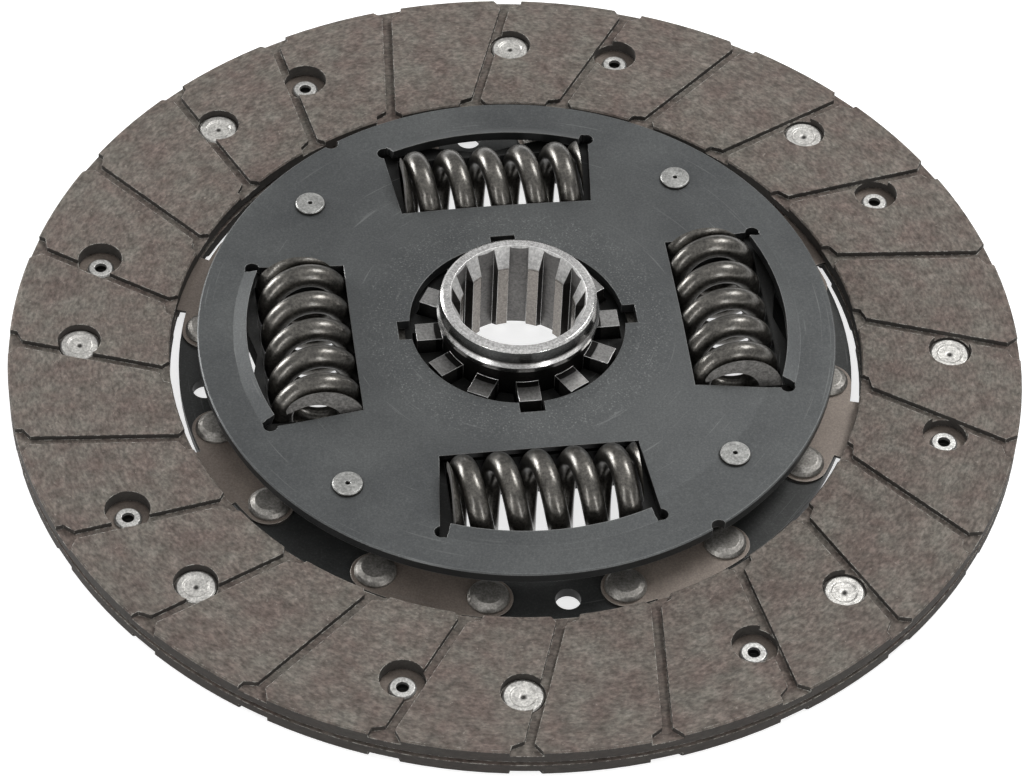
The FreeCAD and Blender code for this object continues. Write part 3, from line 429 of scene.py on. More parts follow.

# %% [markdown]
# ## Finish: friction lining
# The rings are yarn and resin, wound round and round, baked and ground flat. What shows is a
# mottle of warm brown and cooler grey with short fibres that lie along the ring. Four layers do
# it: wide and small clouds for the mottle, coarse and fine ring grain for the yarn and its
# fibres, and speckle for ground crumbs. Every wall is painted dark, as painted shade, and the
# edges of the grooves get a pale broken line, as a painted highlight.

# %% Finish: friction lining
WARM_LINING, COOL_LINING = srgb(92, 82, 77), srgb(98, 94, 88)
DARK_BLOTCH, LIGHT_BLOTCH = (0.8, 0.78, 0.76, 1), (1.2, 1.2, 1.2, 1)
GROUND_DUST = srgb(158, 150, 142)
LINING_WALL_SHADE = srgb(44, 42, 40)
LINING_EDGE_GLINT = srgb(196, 194, 186)
YARN_SPAN = (0.36, 0.64)
BREAK_SPAN = (0.47, 0.6)


def friction_lining():
    material, tree, shader = new_material("friction_lining", 0.0, 0.85, Specular_IOR_Level=0.3)
    clouds = effect(tree, CLOUDS, Scale=110.0, Low=0.36, High=0.64, First=WARM_LINING, Second=COOL_LINING)
    blotches = effect(tree, CLOUDS, Scale=420.0, Low=0.3, High=0.7, First=DARK_BLOTCH, Second=LIGHT_BLOTCH)
    yarn = effect(tree, RING_GRAIN, Along=30.0, Across=560.0, Detail=3.0)
    fibres = effect(tree, RING_GRAIN, Along=85.0, Across=1500.0, Detail=6.0)
    crumbs = effect(tree, SPECKLE, Scale=900.0, Rarity=0.64)
    walls = effect(tree, WALLS)
    edges = effect(tree, EDGE_GLINT, Radius=0.35 * MM, Gain=3.5)
    mottled = mixed(tree, 1.0, clouds.outputs["Colour"], blotches.outputs["Colour"], "MULTIPLY")
    wound = grained(tree, mottled, yarn, 0.82, 1.16, YARN_SPAN)
    fibrous = grained(tree, wound, fibres, 0.66, 1.34, YARN_SPAN)
    dusted = laid_over(tree, fibrous, GROUND_DUST, crumbs.outputs["Crumbs"], 0.45)
    # Upright walls painted dark: painted shade.
    lining_wall_shaded = laid_over(tree, dusted, LINING_WALL_SHADE, walls.outputs["Mask"], 0.85)
    broken = spread_to(tree, crumbs.outputs["Value"], 0.0, 1.0, *BREAK_SPAN)
    # A pale broken line on the groove edges: painted highlight.
    lining_glinted = laid_over(tree, lining_wall_shaded, LINING_EDGE_GLINT, edges.outputs["Mask"], broken)
    join(tree, lining_glinted, shader.inputs["Base Color"])
    relief = math_node(tree, "ADD", fibres.outputs[0], crumbs.outputs["Value"])
    join(tree, bumped(tree, relief, 0.4, 0.1 * MM, edges.outputs["Normal"]), shader.inputs["Normal"])
    return material


LINING = friction_lining()
print("finish:", LINING.name)

# %% [markdown]
# ## Finish: oiled plate
# The plates, the flange and the wavy segments are pressed sheet, blackened or blued and wiped
# with oil. They are neither paint nor mirror: half metal, with a soft gloss that changes in
# clouds, a fine grey speckle and a few thin scratches that run round the axis. Their walls are
# painted dark, as painted shade, and each edge gets a thin bright line, as a painted highlight.
# On the retainer plate the speckle is denser in a ring round the hub, where it was rubbed.

# %% Finish: oiled plate
RUBBED_RING = (22.0 * MM, 36.0 * MM)
NO_RING = (0.0, 1.0 * MM)
RING_SOFTNESS = 4.0 * MM
SPECK, SPECK_STRENGTH, RUBBED_STRENGTH = srgb(150, 151, 149), 0.05, 0.4
SCRATCH, SCRATCH_STRENGTH, SCRATCH_SPAN = srgb(135, 136, 135), 0.28, (0.66, 0.74)
PAINTED_WALL_SHADE, WALL_SHADE_STRENGTH = srgb(26, 26, 26), 0.8


# The edge colour, at glint_strength, paints a bright line on each corner: painted highlight.
def oiled_plate(name, dark, light, edge, glint_strength, rubbed_ring=NO_RING, metallic=0.5):
    material, tree, shader = new_material(name, metallic, 0.42)
    clouds = effect(tree, CLOUDS, Scale=42.0, Low=0.3, High=0.7, First=dark, Second=light)
    speckle = effect(tree, SPECKLE, Scale=2300.0, Rarity=0.58)
    arcs = effect(tree, RING_GRAIN, Along=2.2, Across=1500.0, Detail=2.0)
    rubbed = band(tree, Inner=rubbed_ring[0], Outer=rubbed_ring[1], Soft=RING_SOFTNESS)
    walls = effect(tree, WALLS)
    edges = effect(tree, EDGE_GLINT, Radius=0.3 * MM, Gain=3.5)
    gritty = grained(tree, clouds.outputs["Colour"], speckle, 0.8, 1.22)
    shown = math_node(tree, "ADD", math_node(tree, "MULTIPLY", rubbed, RUBBED_STRENGTH), SPECK_STRENGTH)
    spotted = laid_over(tree, gritty, SPECK, speckle.outputs["Crumbs"], shown)
    scratches = spread_to(tree, arcs.outputs[0], 0.0, SCRATCH_STRENGTH, *SCRATCH_SPAN)
    scuffed = laid_over(tree, spotted, SCRATCH, scratches)
    # Upright walls painted dark: painted shade.
    wall_shaded = laid_over(tree, scuffed, PAINTED_WALL_SHADE, walls.outputs["Mask"], WALL_SHADE_STRENGTH)
    # A bright line on each corner: painted highlight.
    plate_glinted = laid_over(tree, wall_shaded, edge, edges.outputs["Mask"], glint_strength)
    join(tree, plate_glinted, shader.inputs["Base Color"])
    join(tree, spread_to(tree, clouds.outputs["Mask"], 0.38, 0.54), shader.inputs["Roughness"])
    relief = bumped(tree, speckle.outputs["Value"], 0.3, 0.04 * MM, edges.outputs["Normal"])
    join(tree, relief, shader.inputs["Normal"])
    return material


RETAINER = oiled_plate("retainer_plate_finish", dark=srgb(66, 68, 69), light=srgb(80, 82, 82),
                       edge=srgb(176, 176, 174), glint_strength=0.5, rubbed_ring=RUBBED_RING)
CARRIER = oiled_plate("carrier_plate_finish", dark=srgb(44, 45, 45), light=srgb(60, 61, 60),
                      edge=srgb(140, 140, 138), glint_strength=0.35)
FLANGE = oiled_plate("flange_finish", dark=srgb(22, 22, 21), light=srgb(32, 32, 31),
                     edge=srgb(110, 110, 108), glint_strength=0.3)
SEGMENT = oiled_plate("segment_finish", dark=srgb(112, 102, 95), light=srgb(134, 124, 115),
                      edge=srgb(196, 192, 184), glint_strength=0.5, metallic=0.4)
print("finishes:", [plate.name for plate in (RETAINER, CARRIER, FLANGE, SEGMENT)])

# %% [markdown]
# ## Finish: turned steel
# The hub is turned on a fine feed and left bright, so its marks are too small to see one by one.
# They show as a gloss that changes a little from ring to ring. The bore and the teeth are greyer.
# The cone under the end face is painted grey, as a painted dark reflection, the neck is painted
# near black, as painted shade, and the slots are painted darker still, as painted shade. Every
# corner gets a bright line, as a painted highlight. The cone at the bore's mouth mirrors less,
# so that it shows grey and not black. Bands round the axis find all of these but the slots. For
# those the hub carries an attribute of painted shade, which is 1 on the slots' walls and a
# little less on their floors.

# %% Finish: turned steel
TEETH_FROM, TEETH_BELOW = 18.4 * MM, 15.3 * MM
CONE_FROM, CONE_FOOT = 17.35 * MM, 21.6 * MM
NECK_FROM, NECK_TO, NECK_TOP = 16.9 * MM, 18.9 * MM, 19.25 * MM
BORE_SIDE = 13.15 * MM
MOUTH_SIDE, MOUTH_FOOT = 15.3 * MM, 19.85 * MM
DARK_TURNED, LIGHT_TURNED = srgb(184, 183, 182), srgb(212, 211, 209)
BORE_GREY, SLOT_PAINTED_SHADE, CONE_PAINTED_REFLECTION = srgb(138, 133, 128), srgb(60, 57, 55), srgb(112, 110, 108)
TOOTH_GREY, NECK_PAINTED_SHADOW = srgb(84, 83, 81), srgb(40, 39, 38)
CORNER_GLINT = srgb(250, 250, 248)


def turned_steel():
    material, tree, shader = new_material("turned_steel", 1.0, 0.2)
    lines = effect(tree, RING_GRAIN, Along=0.6, Across=3600.0, Detail=1.0)
    clouds = effect(tree, CLOUDS, Scale=210.0, Low=0.3, High=0.7, First=DARK_TURNED, Second=LIGHT_TURNED)
    speckle = effect(tree, SPECKLE, Scale=1700.0, Rarity=0.58)
    edges = effect(tree, EDGE_GLINT, Radius=0.22 * MM, Gain=4.0)
    bore = band(tree, Outer=BORE_SIDE, Soft=0.1 * MM)
    # The slots' attribute: painted shade, stronger on the walls than on the floors.
    slots = add(tree, "ShaderNodeAttribute", attribute_name="slot_shade").outputs["Fac"]
    # The cone under the end face: painted dark reflection.
    cone = above(tree, band(tree, Inner=CONE_FROM, Soft=0.3 * MM), CONE_FOOT, 0.3 * MM)
    teeth = band(tree, Inner=TEETH_FROM, Level=TEETH_BELOW, Soft=0.15 * MM)
    # The neck below the collar and the teeth roots: painted shadow.
    neck = band(tree, Inner=NECK_FROM, Outer=NECK_TO, Level=NECK_TOP, Soft=0.2 * MM)
    mouth = above(tree, band(tree, Outer=MOUTH_SIDE, Soft=0.1 * MM), MOUTH_FOOT, 0.1 * MM)
    colour = clouds.outputs["Colour"]
    for grey, place in ((BORE_GREY, bore), (SLOT_PAINTED_SHADE, slots), (CONE_PAINTED_REFLECTION, cone), (TOOTH_GREY, teeth),
                        (NECK_PAINTED_SHADOW, neck)):
        colour = laid_over(tree, colour, grey, place)
    gritty = grained(tree, colour, speckle, 0.72, 1.26)
    # Corners painted near white: painted highlight.
    rubbed = laid_over(tree, gritty, CORNER_GLINT, edges.outputs["Mask"], 0.9)
    join(tree, rubbed, shader.inputs["Base Color"])
    dull = teeth
    for place in (neck, mouth, slots):
        dull = math_node(tree, "MAXIMUM", dull, place)
    gloss = math_node(tree, "ADD", spread_to(tree, lines.outputs[0], 0.16, 0.3),
                      math_node(tree, "MULTIPLY", dull, 0.24))
    join(tree, gloss, shader.inputs["Roughness"])
    join(tree, spread_to(tree, mouth, 1.0, 0.45), shader.inputs["Metallic"])
    relief = bumped(tree, lines.outputs[0], 0.05, 0.01 * MM, edges.outputs["Normal"])
    join(tree, relief, shader.inputs["Normal"])
    return material


HUB = turned_steel()
print("finish:", HUB.name)

# %% [markdown]
# ## Finish: small bright parts
# Rivets and pins are plated or bare, struck cold, and a little rough from the punch. They share
# one recipe with different colour, gloss and grit. Each corner gets a bright line, as a painted
# highlight. Below a level the metal is painted dark, as painted shade in the hollow of a rivet
# and in the mark of its punch.

# %% Finish: small bright parts
NO_HOLLOW = -1.0
SMALL_PART_GLINT, HOLLOW_SHADE = srgb(240, 240, 238), srgb(58, 57, 55)


def struck_metal(name, dark, light, roughness, grit, hollow=NO_HOLLOW):
    material, tree, shader = new_material(name, 0.8, roughness)
    clouds = effect(tree, CLOUDS, Scale=420.0, Low=0.35, High=0.65, First=dark, Second=light)
    speckle = effect(tree, SPECKLE, Scale=1900.0, Rarity=0.58)
    edges = effect(tree, EDGE_GLINT, Radius=0.25 * MM, Gain=3.0)
    pitted = grained(tree, clouds.outputs["Colour"], speckle, 0.6, 1.3)
    # A bright line on each corner: painted highlight.
    bright = laid_over(tree, pitted, SMALL_PART_GLINT, edges.outputs["Mask"], 0.5)
    # Below the hollow's level the metal is painted dark: painted shade.
    sunk = laid_over(tree, bright, HOLLOW_SHADE, band(tree, Level=hollow, Soft=0.1 * MM))
    join(tree, sunk, shader.inputs["Base Color"])
    relief = bumped(tree, speckle.outputs["Value"], grit, 0.08 * MM, edges.outputs["Normal"])
    join(tree, relief, shader.inputs["Normal"])
    return material


RIVET = struck_metal("rivet_finish", srgb(178, 176, 172), srgb(212, 210, 205), roughness=0.42, grit=0.6,
                     hollow=6.86 * MM)
RIVET_TAIL = struck_metal("rivet_tail_finish", srgb(184, 183, 180), srgb(216, 215, 211), roughness=0.4,
                          grit=0.6, hollow=4.9 * MM)
PIN = struck_metal("pin_finish", srgb(138, 138, 136), srgb(166, 166, 163), roughness=0.42, grit=0.5,
                   hollow=15.3 * MM)
TAB_RIVET = struck_metal("tab_rivet_finish", srgb(128, 125, 120), srgb(158, 155, 150), roughness=0.44,
                         grit=0.6)
print("finishes:", [struck.name for struck in (RIVET, RIVET_TAIL, PIN, TAB_RIVET)])

# %% [markdown]
# ## Finish: black spring wire
# Spring wire is drawn, wound, hardened in oil and shot peened. It is nearly black with a wet
# film, which is a coat over a rough base, and the peening shows as a fine dimpled bump. Its end
# faces are ground afterwards and stay bare. The springs carry an attribute that is 1 there.

# %% Finish: black spring wire
DARK_WIRE, LIGHT_WIRE = srgb(70, 68, 64), srgb(96, 93, 88)
GROUND_END = srgb(130, 128, 125)


def spring_wire():
    material, tree, shader = new_material("black_wire", 0.9, 0.34, Coat_Weight=0.5, Coat_Roughness=0.22)
    clouds = effect(tree, CLOUDS, Scale=300.0, Low=0.3, High=0.7, First=DARK_WIRE, Second=LIGHT_WIRE)
    dimples = effect(tree, SPECKLE, Scale=1500.0, Rarity=0.6)
    ground = add(tree, "ShaderNodeAttribute", attribute_name="ground").outputs["Fac"]
    bare = laid_over(tree, clouds.outputs["Colour"], GROUND_END, ground)
    join(tree, grained(tree, bare, dimples, 0.5, 1.5), shader.inputs["Base Color"])
    join(tree, spread_to(tree, ground, 0.9, 0.2), shader.inputs["Metallic"])
    join(tree, bumped(tree, dimples.outputs["Value"], 0.45, 0.05 * MM), shader.inputs["Normal"])
    return material


WIRE = spring_wire()
print("finish:", WIRE.name)

# %% [markdown]
# ## Finish: moulded plastic
# The washers and the bush are hidden but for slivers. They are glass-filled plastic: dark, dull
# and slightly cloudy.

# %% Finish: moulded plastic
DARK_PLASTIC, LIGHT_PLASTIC = srgb(34, 34, 33), srgb(52, 51, 49)


def moulded_plastic():
    material, tree, shader = new_material("moulded_plastic", 0.0, 0.55)
    clouds = effect(tree, CLOUDS, Scale=300.0, Low=0.3, High=0.7, First=DARK_PLASTIC, Second=LIGHT_PLASTIC)
    grain = effect(tree, SPECKLE, Scale=2500.0, Rarity=0.7)
    join(tree, clouds.outputs["Colour"], shader.inputs["Base Color"])
    join(tree, bumped(tree, grain.outputs["Value"], 0.2, 0.03 * MM), shader.inputs["Normal"])
    return material


PLASTIC = moulded_plastic()
print("finish:", PLASTIC.name)

# %% [markdown]
# ## Give each node its finish
# The frame names its nodes after the pieces of the disc, so a table says which finish each one
# wears. The wavy segments and the springs are numbered, and one row serves all of a kind once
# the number is taken off the name.

# %% Give each node its finish
FINISHES = {
    "facing_upper": LINING, "facing_lower": LINING, "cushion_segment": SEGMENT,
    "retainer_plate": RETAINER, "carrier_plate": CARRIER, "hub_flange": FLANGE, "hub": HUB,
    "facing_rivets_upper": RIVET, "facing_rivets_lower": RIVET_TAIL,
    "stop_pins": PIN, "segment_rivets": TAB_RIVET, "damper_spring": WIRE, "cone_spring": WIRE,
    "friction_washer_lower": PLASTIC, "friction_washer_upper": PLASTIC, "centring_bush": PLASTIC}

for name, item in nodes.items():
    item.data.materials.clear()
    item.data.materials.append(FINISHES[name.rstrip("_0123456789")])
print("finishes given to", len(nodes), "nodes")

# %% [markdown]
# ## Damper springs
# The solids wind each spring from half rings, which is close but shows its joints. Here a circle
# of wire section is spun about the spring's axis, as a lathe winds wire on a mandrel. A spin has
# one pitch only, so the sections are first spun far apart, which makes each one easy to tell from
# the next, and are then moved along the axis to their true places: a full pitch in the working
# coils, and little more than the wire's own thickness beyond them, so that the last coil lies
# nearly closed on its neighbour.

# %% The wire's place along a spring
SPRING_PITCH = 8.25 * MM
WORKING_TURNS = 4
CLOSED_PITCH = 5.7 * MM
CLOSED_TURNS = 1.25
TURNS = WORKING_TURNS + 2 * CLOSED_TURNS


def rise_at(turn):
    """The wire's place along the spring after a number of turns from the middle."""
    beyond = max(0.0, abs(turn) - WORKING_TURNS / 2)
    rise = SPRING_PITCH * abs(turn) - (SPRING_PITCH - CLOSED_PITCH) * beyond
    return math.copysign(rise, turn)


print("turns of wire:", TURNS, "ends at", round(rise_at(TURNS / 2) / MM, 2), "mm")

# %% [markdown]
# ## From a bmesh to a shown piece
# The new pieces share their last steps. On the coils and the hub, faces with many corners are
# split into triangles, and round surfaces are shaded smooth while true corners stay sharp. Then
# each mesh becomes an object at the origin with its place in its mesh, as the solids from the
# frame are.

# %% From a bmesh to a shown piece
def split_polygons(mesh):
    """Cut every face of more than four corners into triangles."""
    bmesh.ops.triangulate(mesh, faces=[face for face in mesh.faces if len(face.verts) > 4])


def shade_smooth(mesh, sharp):
    """Shade all faces smooth, but keep the edges that turn by more than an angle."""
    for face in mesh.faces:
        face.smooth = True
    for edge in mesh.edges:
        edge.smooth = len(edge.link_faces) == 2 and edge.calc_face_angle(0.0) < sharp


def linked(name, mesh, material=None):
    """An object in the scene with the mesh that a bmesh holds."""
    data = bpy.data.meshes.new(name)
    mesh.to_mesh(data)
    mesh.free()
    if material is not None:
        data.materials.append(material)
    item = bpy.data.objects.new(name, data)
    bpy.context.scene.collection.objects.link(item)
    return item


# %% [markdown]
# ## Winding and grinding
# A damper spring's ends are ground flat, so that it stands square against the window's edge.
# A bisect with `clear_outer` does the grinding, and the open outlines that it leaves are filled.
# A filled outline is a real flat, so its border is kept sharp while the wire is shaded smooth.

# %% Winding and grinding
SPRING_LENGTH = 41.2 * MM
SPRING_OUTER = 10.5 * MM
WIRE_RADIUS = 2.6 * MM
WIRE_FACES = 24
STEPS_PER_TURN = 48
SPIN_STEP = 1.0
WIRE_SHARP = math.radians(40)
END_TOLERANCE = 0.01 * MM


def wind_wire():
    """A tube of wire round the Y axis, with its sections at their true places."""
    mesh = bmesh.new()
    section = Matrix.Translation((0, 0, SPRING_OUTER - WIRE_RADIUS)) @ Matrix.Rotation(math.pi / 2, 4, "Y")
    bmesh.ops.create_circle(mesh, segments=WIRE_FACES, radius=WIRE_RADIUS, matrix=section)
    bmesh.ops.rotate(mesh, verts=mesh.verts, matrix=Matrix.Rotation(-math.pi * TURNS, 3, "Y"))
    bmesh.ops.spin(mesh, geom=mesh.verts[:] + mesh.edges[:], axis=(0, 1, 0), dvec=(0, SPIN_STEP, 0),
                   angle=2 * math.pi * TURNS, steps=round(STEPS_PER_TURN * TURNS))
    for point in mesh.verts:
        step = round(point.co.y / SPIN_STEP)
        point.co.y += rise_at(step / STEPS_PER_TURN - TURNS / 2) - step * SPIN_STEP
    return mesh


def grind_ends(mesh):
    """Cut the wire flat at both ends, close it and mark the ground faces."""
    for side in (-1, 1):
        whole = mesh.verts[:] + mesh.edges[:] + mesh.faces[:]
        bmesh.ops.bisect_plane(mesh, geom=whole, plane_co=(0, side * SPRING_LENGTH / 2, 0),
                               plane_no=(0, side, 0), clear_outer=True)
    bmesh.ops.holes_fill(mesh, edges=[edge for edge in mesh.edges if edge.is_boundary], sides=0)
    split_polygons(mesh)
    bmesh.ops.recalc_face_normals(mesh, faces=mesh.faces)
    shade_smooth(mesh, WIRE_SHARP)
    ground = mesh.faces.layers.float.new("ground")
    for face in mesh.faces:
        face[ground] = float(abs(face.calc_center_median().y) > SPRING_LENGTH / 2 - END_TOLERANCE)


print("wire:", 2 * WIRE_RADIUS / MM, "mm thick,", WIRE_FACES, "faces round")

# %% [markdown]
# ## Springs in their windows
# The four windows stand at quarter turns, all turned by the same small angle about the axis, and
# each spring is turned into its window with its mesh. A spring shortens when the flange turns
# against it, which a rigid solid can't do. The coil takes the place of the solid and rides with
# the plates.

# %% Springs in their windows
WINDOWS = 4
CLOCKING = math.radians(9.4)
SPRING_CIRCLE = 46.65 * MM
SPRING_AXIS = 10.7 * MM


def window_turn(index):
    """The turn about the disc's axis that brings a piece into one of the windows."""
    return Matrix.Rotation(CLOCKING + index * 2 * math.pi / WINDOWS, 4, "Z")


def spring_in_window(index):
    """One spring, turned into its window. It rides with the plates."""
    name = f"damper_spring_{index + 1}"
    turn = window_turn(index)
    mesh = wind_wire()
    grind_ends(mesh)
    mesh.transform(turn @ Matrix.Translation((SPRING_CIRCLE, 0, SPRING_AXIS)))
    coil = linked(name + "_coil", mesh, WIRE)
    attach(coil, "plates")
    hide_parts(name)
    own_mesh(coil)
    return coil


coils = [spring_in_window(index) for index in range(WINDOWS)]
print("spring faces:", [len(coil.data.polygons) for coil in coils])

# %% [markdown]
# ## Splined hub: the turned blank
# The hub is turned first. Its outline is drawn once, as points of radius and level in
# millimetres, and a full spin makes the blank of it. The bore opens in a cone at both ends, which
# leads the shaft in.

# %% Splined hub: the turned blank
BORE, MOUTH = 13.0, 15.2
HUB_FOOT, FOOT_LEAD = 0.2, 1.8
TOP_LEAD, HUB_TOP = 19.75, 25.15
BODY, COLLAR, COLLAR_FOOT = 17.2, 18.2, 19.3
HUB_PROFILE = [(MOUTH, HUB_TOP), (16.8, HUB_TOP), (17.4, 24.75), (17.6, 21.7), (COLLAR, 20.6),
               (COLLAR, 19.5), (18.0, COLLAR_FOOT), (BODY, COLLAR_FOOT), (BODY, 0.5), (16.9, HUB_FOOT),
               (MOUTH, HUB_FOOT), (BORE, FOOT_LEAD), (BORE, TOP_LEAD)]
HUB_SEGMENTS = 144
MERGE_DISTANCE = 0.001 * MM


def turned_blank():
    """The hub before its slots are cut."""
    mesh = bmesh.new()
    points = [mesh.verts.new((radius * MM, 0, level * MM)) for radius, level in HUB_PROFILE]
    outline = [mesh.edges.new((points[index - 1], points[index])) for index in range(len(points))]
    bmesh.ops.spin(mesh, geom=points + outline, axis=(0, 0, 1), angle=2 * math.pi, steps=HUB_SEGMENTS,
                   use_merge=True)
    bmesh.ops.remove_doubles(mesh, verts=mesh.verts, dist=MERGE_DISTANCE)
    bmesh.ops.recalc_face_normals(mesh, faces=mesh.faces)
    return mesh


print("points of the hub's outline:", len(HUB_PROFILE))

# %% [markdown]
# ## Splined hub: slots and teeth
# The real slots are broached and the teeth are milled. Here one box stands for each of them and
# is copied round the axis. Two Boolean modifiers add the teeth and then cut the slots. The slot
# cutters run past the blank at both ends and the teeth reach into it, so no faces of box and
# blank fall together.

# %% Splined hub: slots and teeth
SLOTS = 12
FIRST_SLOT = math.radians(91.4)
SLOT_HALF, SLOT_FLOOR = 2.15, 14.9
CUTTER_INNER, CUTTER_LOW, CUTTER_HIGH = 6.0, -2.0, 28.0
TEETH = 12
TOOTH_HALF, TOOTH_ROOT, TOOTH_TIP = 2.5, 16.4, 22.85
TOOTH_LOW, TOOTH_HIGH = 6.1, 15.2


def boxes_round(count, first, low_corner, high_corner):
    """Copies of one box, given by two corners in millimetres, turned round the axis."""
    mesh = bmesh.new()
    low, high = Vector(low_corner) * MM, Vector(high_corner) * MM
    shape = Matrix.Translation((low + high) / 2) @ Matrix.Diagonal((*(high - low), 1.0))
    for index in range(count):
        turn = Matrix.Rotation(first + index * 2 * math.pi / count, 4, "Z")
        bmesh.ops.create_cube(mesh, size=1.0, matrix=turn @ shape)
    return mesh


def combine(blank, tools):
    """Give the blank the mesh that Boolean modifiers make of it and the tools, and drop the tools."""
    for tool, operation in tools:
        step = blank.modifiers.new(tool.name, "BOOLEAN")
        step.object, step.operation, step.solver = tool, operation, "EXACT"
    evaluated = blank.evaluated_get(bpy.context.evaluated_depsgraph_get())
    shaped = bpy.data.meshes.new_from_object(evaluated)
    blank.modifiers.clear()
    blank.data = shaped
    for tool, _ in tools:
        bpy.data.objects.remove(tool)


print("slots:", SLOTS, "teeth:", TEETH)

# %% [markdown]
# ## Splined hub: painted shade in the slots
# The finish paints the slots dark, as painted shade, so it has to know them from the turned
# bore. A face lies in a slot where it is farther from the axis than the bore is at its level, and
# not beyond the slots' floor. The floors face the axis and catch more light than the walls, so
# their painted shade is a little weaker.

# %% Splined hub: painted shade in the slots
OFF_BORE, PAST_FLOOR = 0.12, 0.4
FACES_AXIS = 0.7
SLOT_WALL_SHADE, SLOT_FLOOR_SHADE = 1.0, 0.78


def bore_at(level):
    """The bore's radius at a level, with the cones that lead in at both ends."""
    lead = max(0.0, (level - TOP_LEAD) / (HUB_TOP - TOP_LEAD), (FOOT_LEAD - level) / (FOOT_LEAD - HUB_FOOT))
    return BORE + lead * (MOUTH - BORE)


def shade_slots(mesh):
    """Write on each face of the hub how strongly the slots' painted shade darkens it."""
    slot_shade = mesh.faces.layers.float.new("slot_shade")
    for face in mesh.faces:
        centre = face.calc_center_median() / MM
        in_slot = bore_at(centre.z) + OFF_BORE < centre.xy.length < SLOT_FLOOR + PAST_FLOOR
        is_floor = abs(face.normal.xy.dot(centre.xy.normalized())) > FACES_AXIS
        face[slot_shade] = in_slot * (SLOT_FLOOR_SHADE if is_floor else SLOT_WALL_SHADE)


print("bore at the foot and the top:", [round(bore_at(level), 2) for level in (HUB_FOOT, HUB_TOP)], "mm")

# %% [markdown]
# ## Splined hub: put together
# The hub of the frame keeps its mesh, as every solid does, and this one is shown in its place. It
# moves with the hub's own body, which turns a little in the flange.

# %% Splined hub: put together
HUB_SHARP = math.radians(14)


def splined_hub():
    """The hub with its slots and teeth. It moves with the hub's own body."""
    blank = linked("splined_hub", turned_blank())
    cutters = linked("slot_cutters", boxes_round(SLOTS, FIRST_SLOT, (CUTTER_INNER, -SLOT_HALF, CUTTER_LOW),
                                                 (SLOT_FLOOR, SLOT_HALF, CUTTER_HIGH)))
    teeth = linked("hub_teeth", boxes_round(TEETH, CLOCKING, (TOOTH_ROOT, -TOOTH_HALF, TOOTH_LOW),
                                            (TOOTH_TIP, TOOTH_HALF, TOOTH_HIGH)))
    combine(blank, ((teeth, "UNION"), (cutters, "DIFFERENCE")))
    mesh = bmesh.new()
    mesh.from_mesh(blank.data)
    split_polygons(mesh)
    shade_slots(mesh)
    shade_smooth(mesh, HUB_SHARP)
    mesh.to_mesh(blank.data)
    mesh.free()
    blank.data.materials.clear()
    blank.data.materials.append(HUB)
    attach(blank, "hub")
    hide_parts("hub")
    return blank


hub_piece = splined_hub()
print("hub faces:", len(hub_piece.data.polygons))

# %% [markdown]
# ## Seats in the flange
# The flange's windows hug the springs: their outer walls are coined to the coils' roundness. The
# solids have flat walls there. A seat's section is an arc of points round the spring's axis, no
# higher than the flange, closed by the flat wall behind it. It is extruded along the window.

# %% Seats in the flange
SEAT_RADIUS = SPRING_OUTER + 0.15 * MM
SEAT_HALF = 20.6 * MM
SEAT_STEPS = 12
FLANGE_LOW, FLANGE_TOP = 6.15 * MM, 11.55 * MM
WINDOW_WALL = 57.5 * MM


def seat_in_flange(index):
    """The curved strip between one spring and the flange's wall. It moves with the flange."""
    mesh = bmesh.new()
    corners = [mesh.verts.new((WINDOW_WALL, -SEAT_HALF, FLANGE_TOP)),
               mesh.verts.new((WINDOW_WALL, -SEAT_HALF, FLANGE_LOW))]
    for step in range(SEAT_STEPS + 1):
        level = FLANGE_LOW + (FLANGE_TOP - FLANGE_LOW) * step / SEAT_STEPS
        reach = SPRING_CIRCLE + math.sqrt(SEAT_RADIUS ** 2 - (level - SPRING_AXIS) ** 2)
        corners.append(mesh.verts.new((reach, -SEAT_HALF, level)))
    section = mesh.faces.new(corners)
    grown = bmesh.ops.extrude_face_region(mesh, geom=[section])
    moved = [item for item in grown["geom"] if isinstance(item, bmesh.types.BMVert)]
    bmesh.ops.translate(mesh, verts=moved, vec=(0, 2 * SEAT_HALF, 0))
    bmesh.ops.triangulate(mesh, faces=mesh.faces)
    bmesh.ops.recalc_face_normals(mesh, faces=mesh.faces)
    mesh.transform(window_turn(index))
    seat = linked(f"flange_seat_{index + 1}", mesh, FLANGE)
    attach(seat, "flange")
    return seat


seats = [seat_in_flange(index) for index in range(WINDOWS)]
print("seats:", len(seats))

# %% [markdown]
# ## Floor
# The disc lies on a white sweep, a wide round sheet of paper whose border is turned up. To the
# camera and in mirrors the paper glows, so that it shows white without any more light on the
# disc. To all other rays it is plain pale paper, which keeps the disc's shadow.

# %% Floor
FLOOR_RADIUS = 6.0
FLOOR_SIDES = 64
SWEEP_HEIGHT = 0.9
PAPER, PAPER_GLOW = (0.6, 0.6, 0.6, 1), 0.72
WHITE = (1, 1, 1, 1)


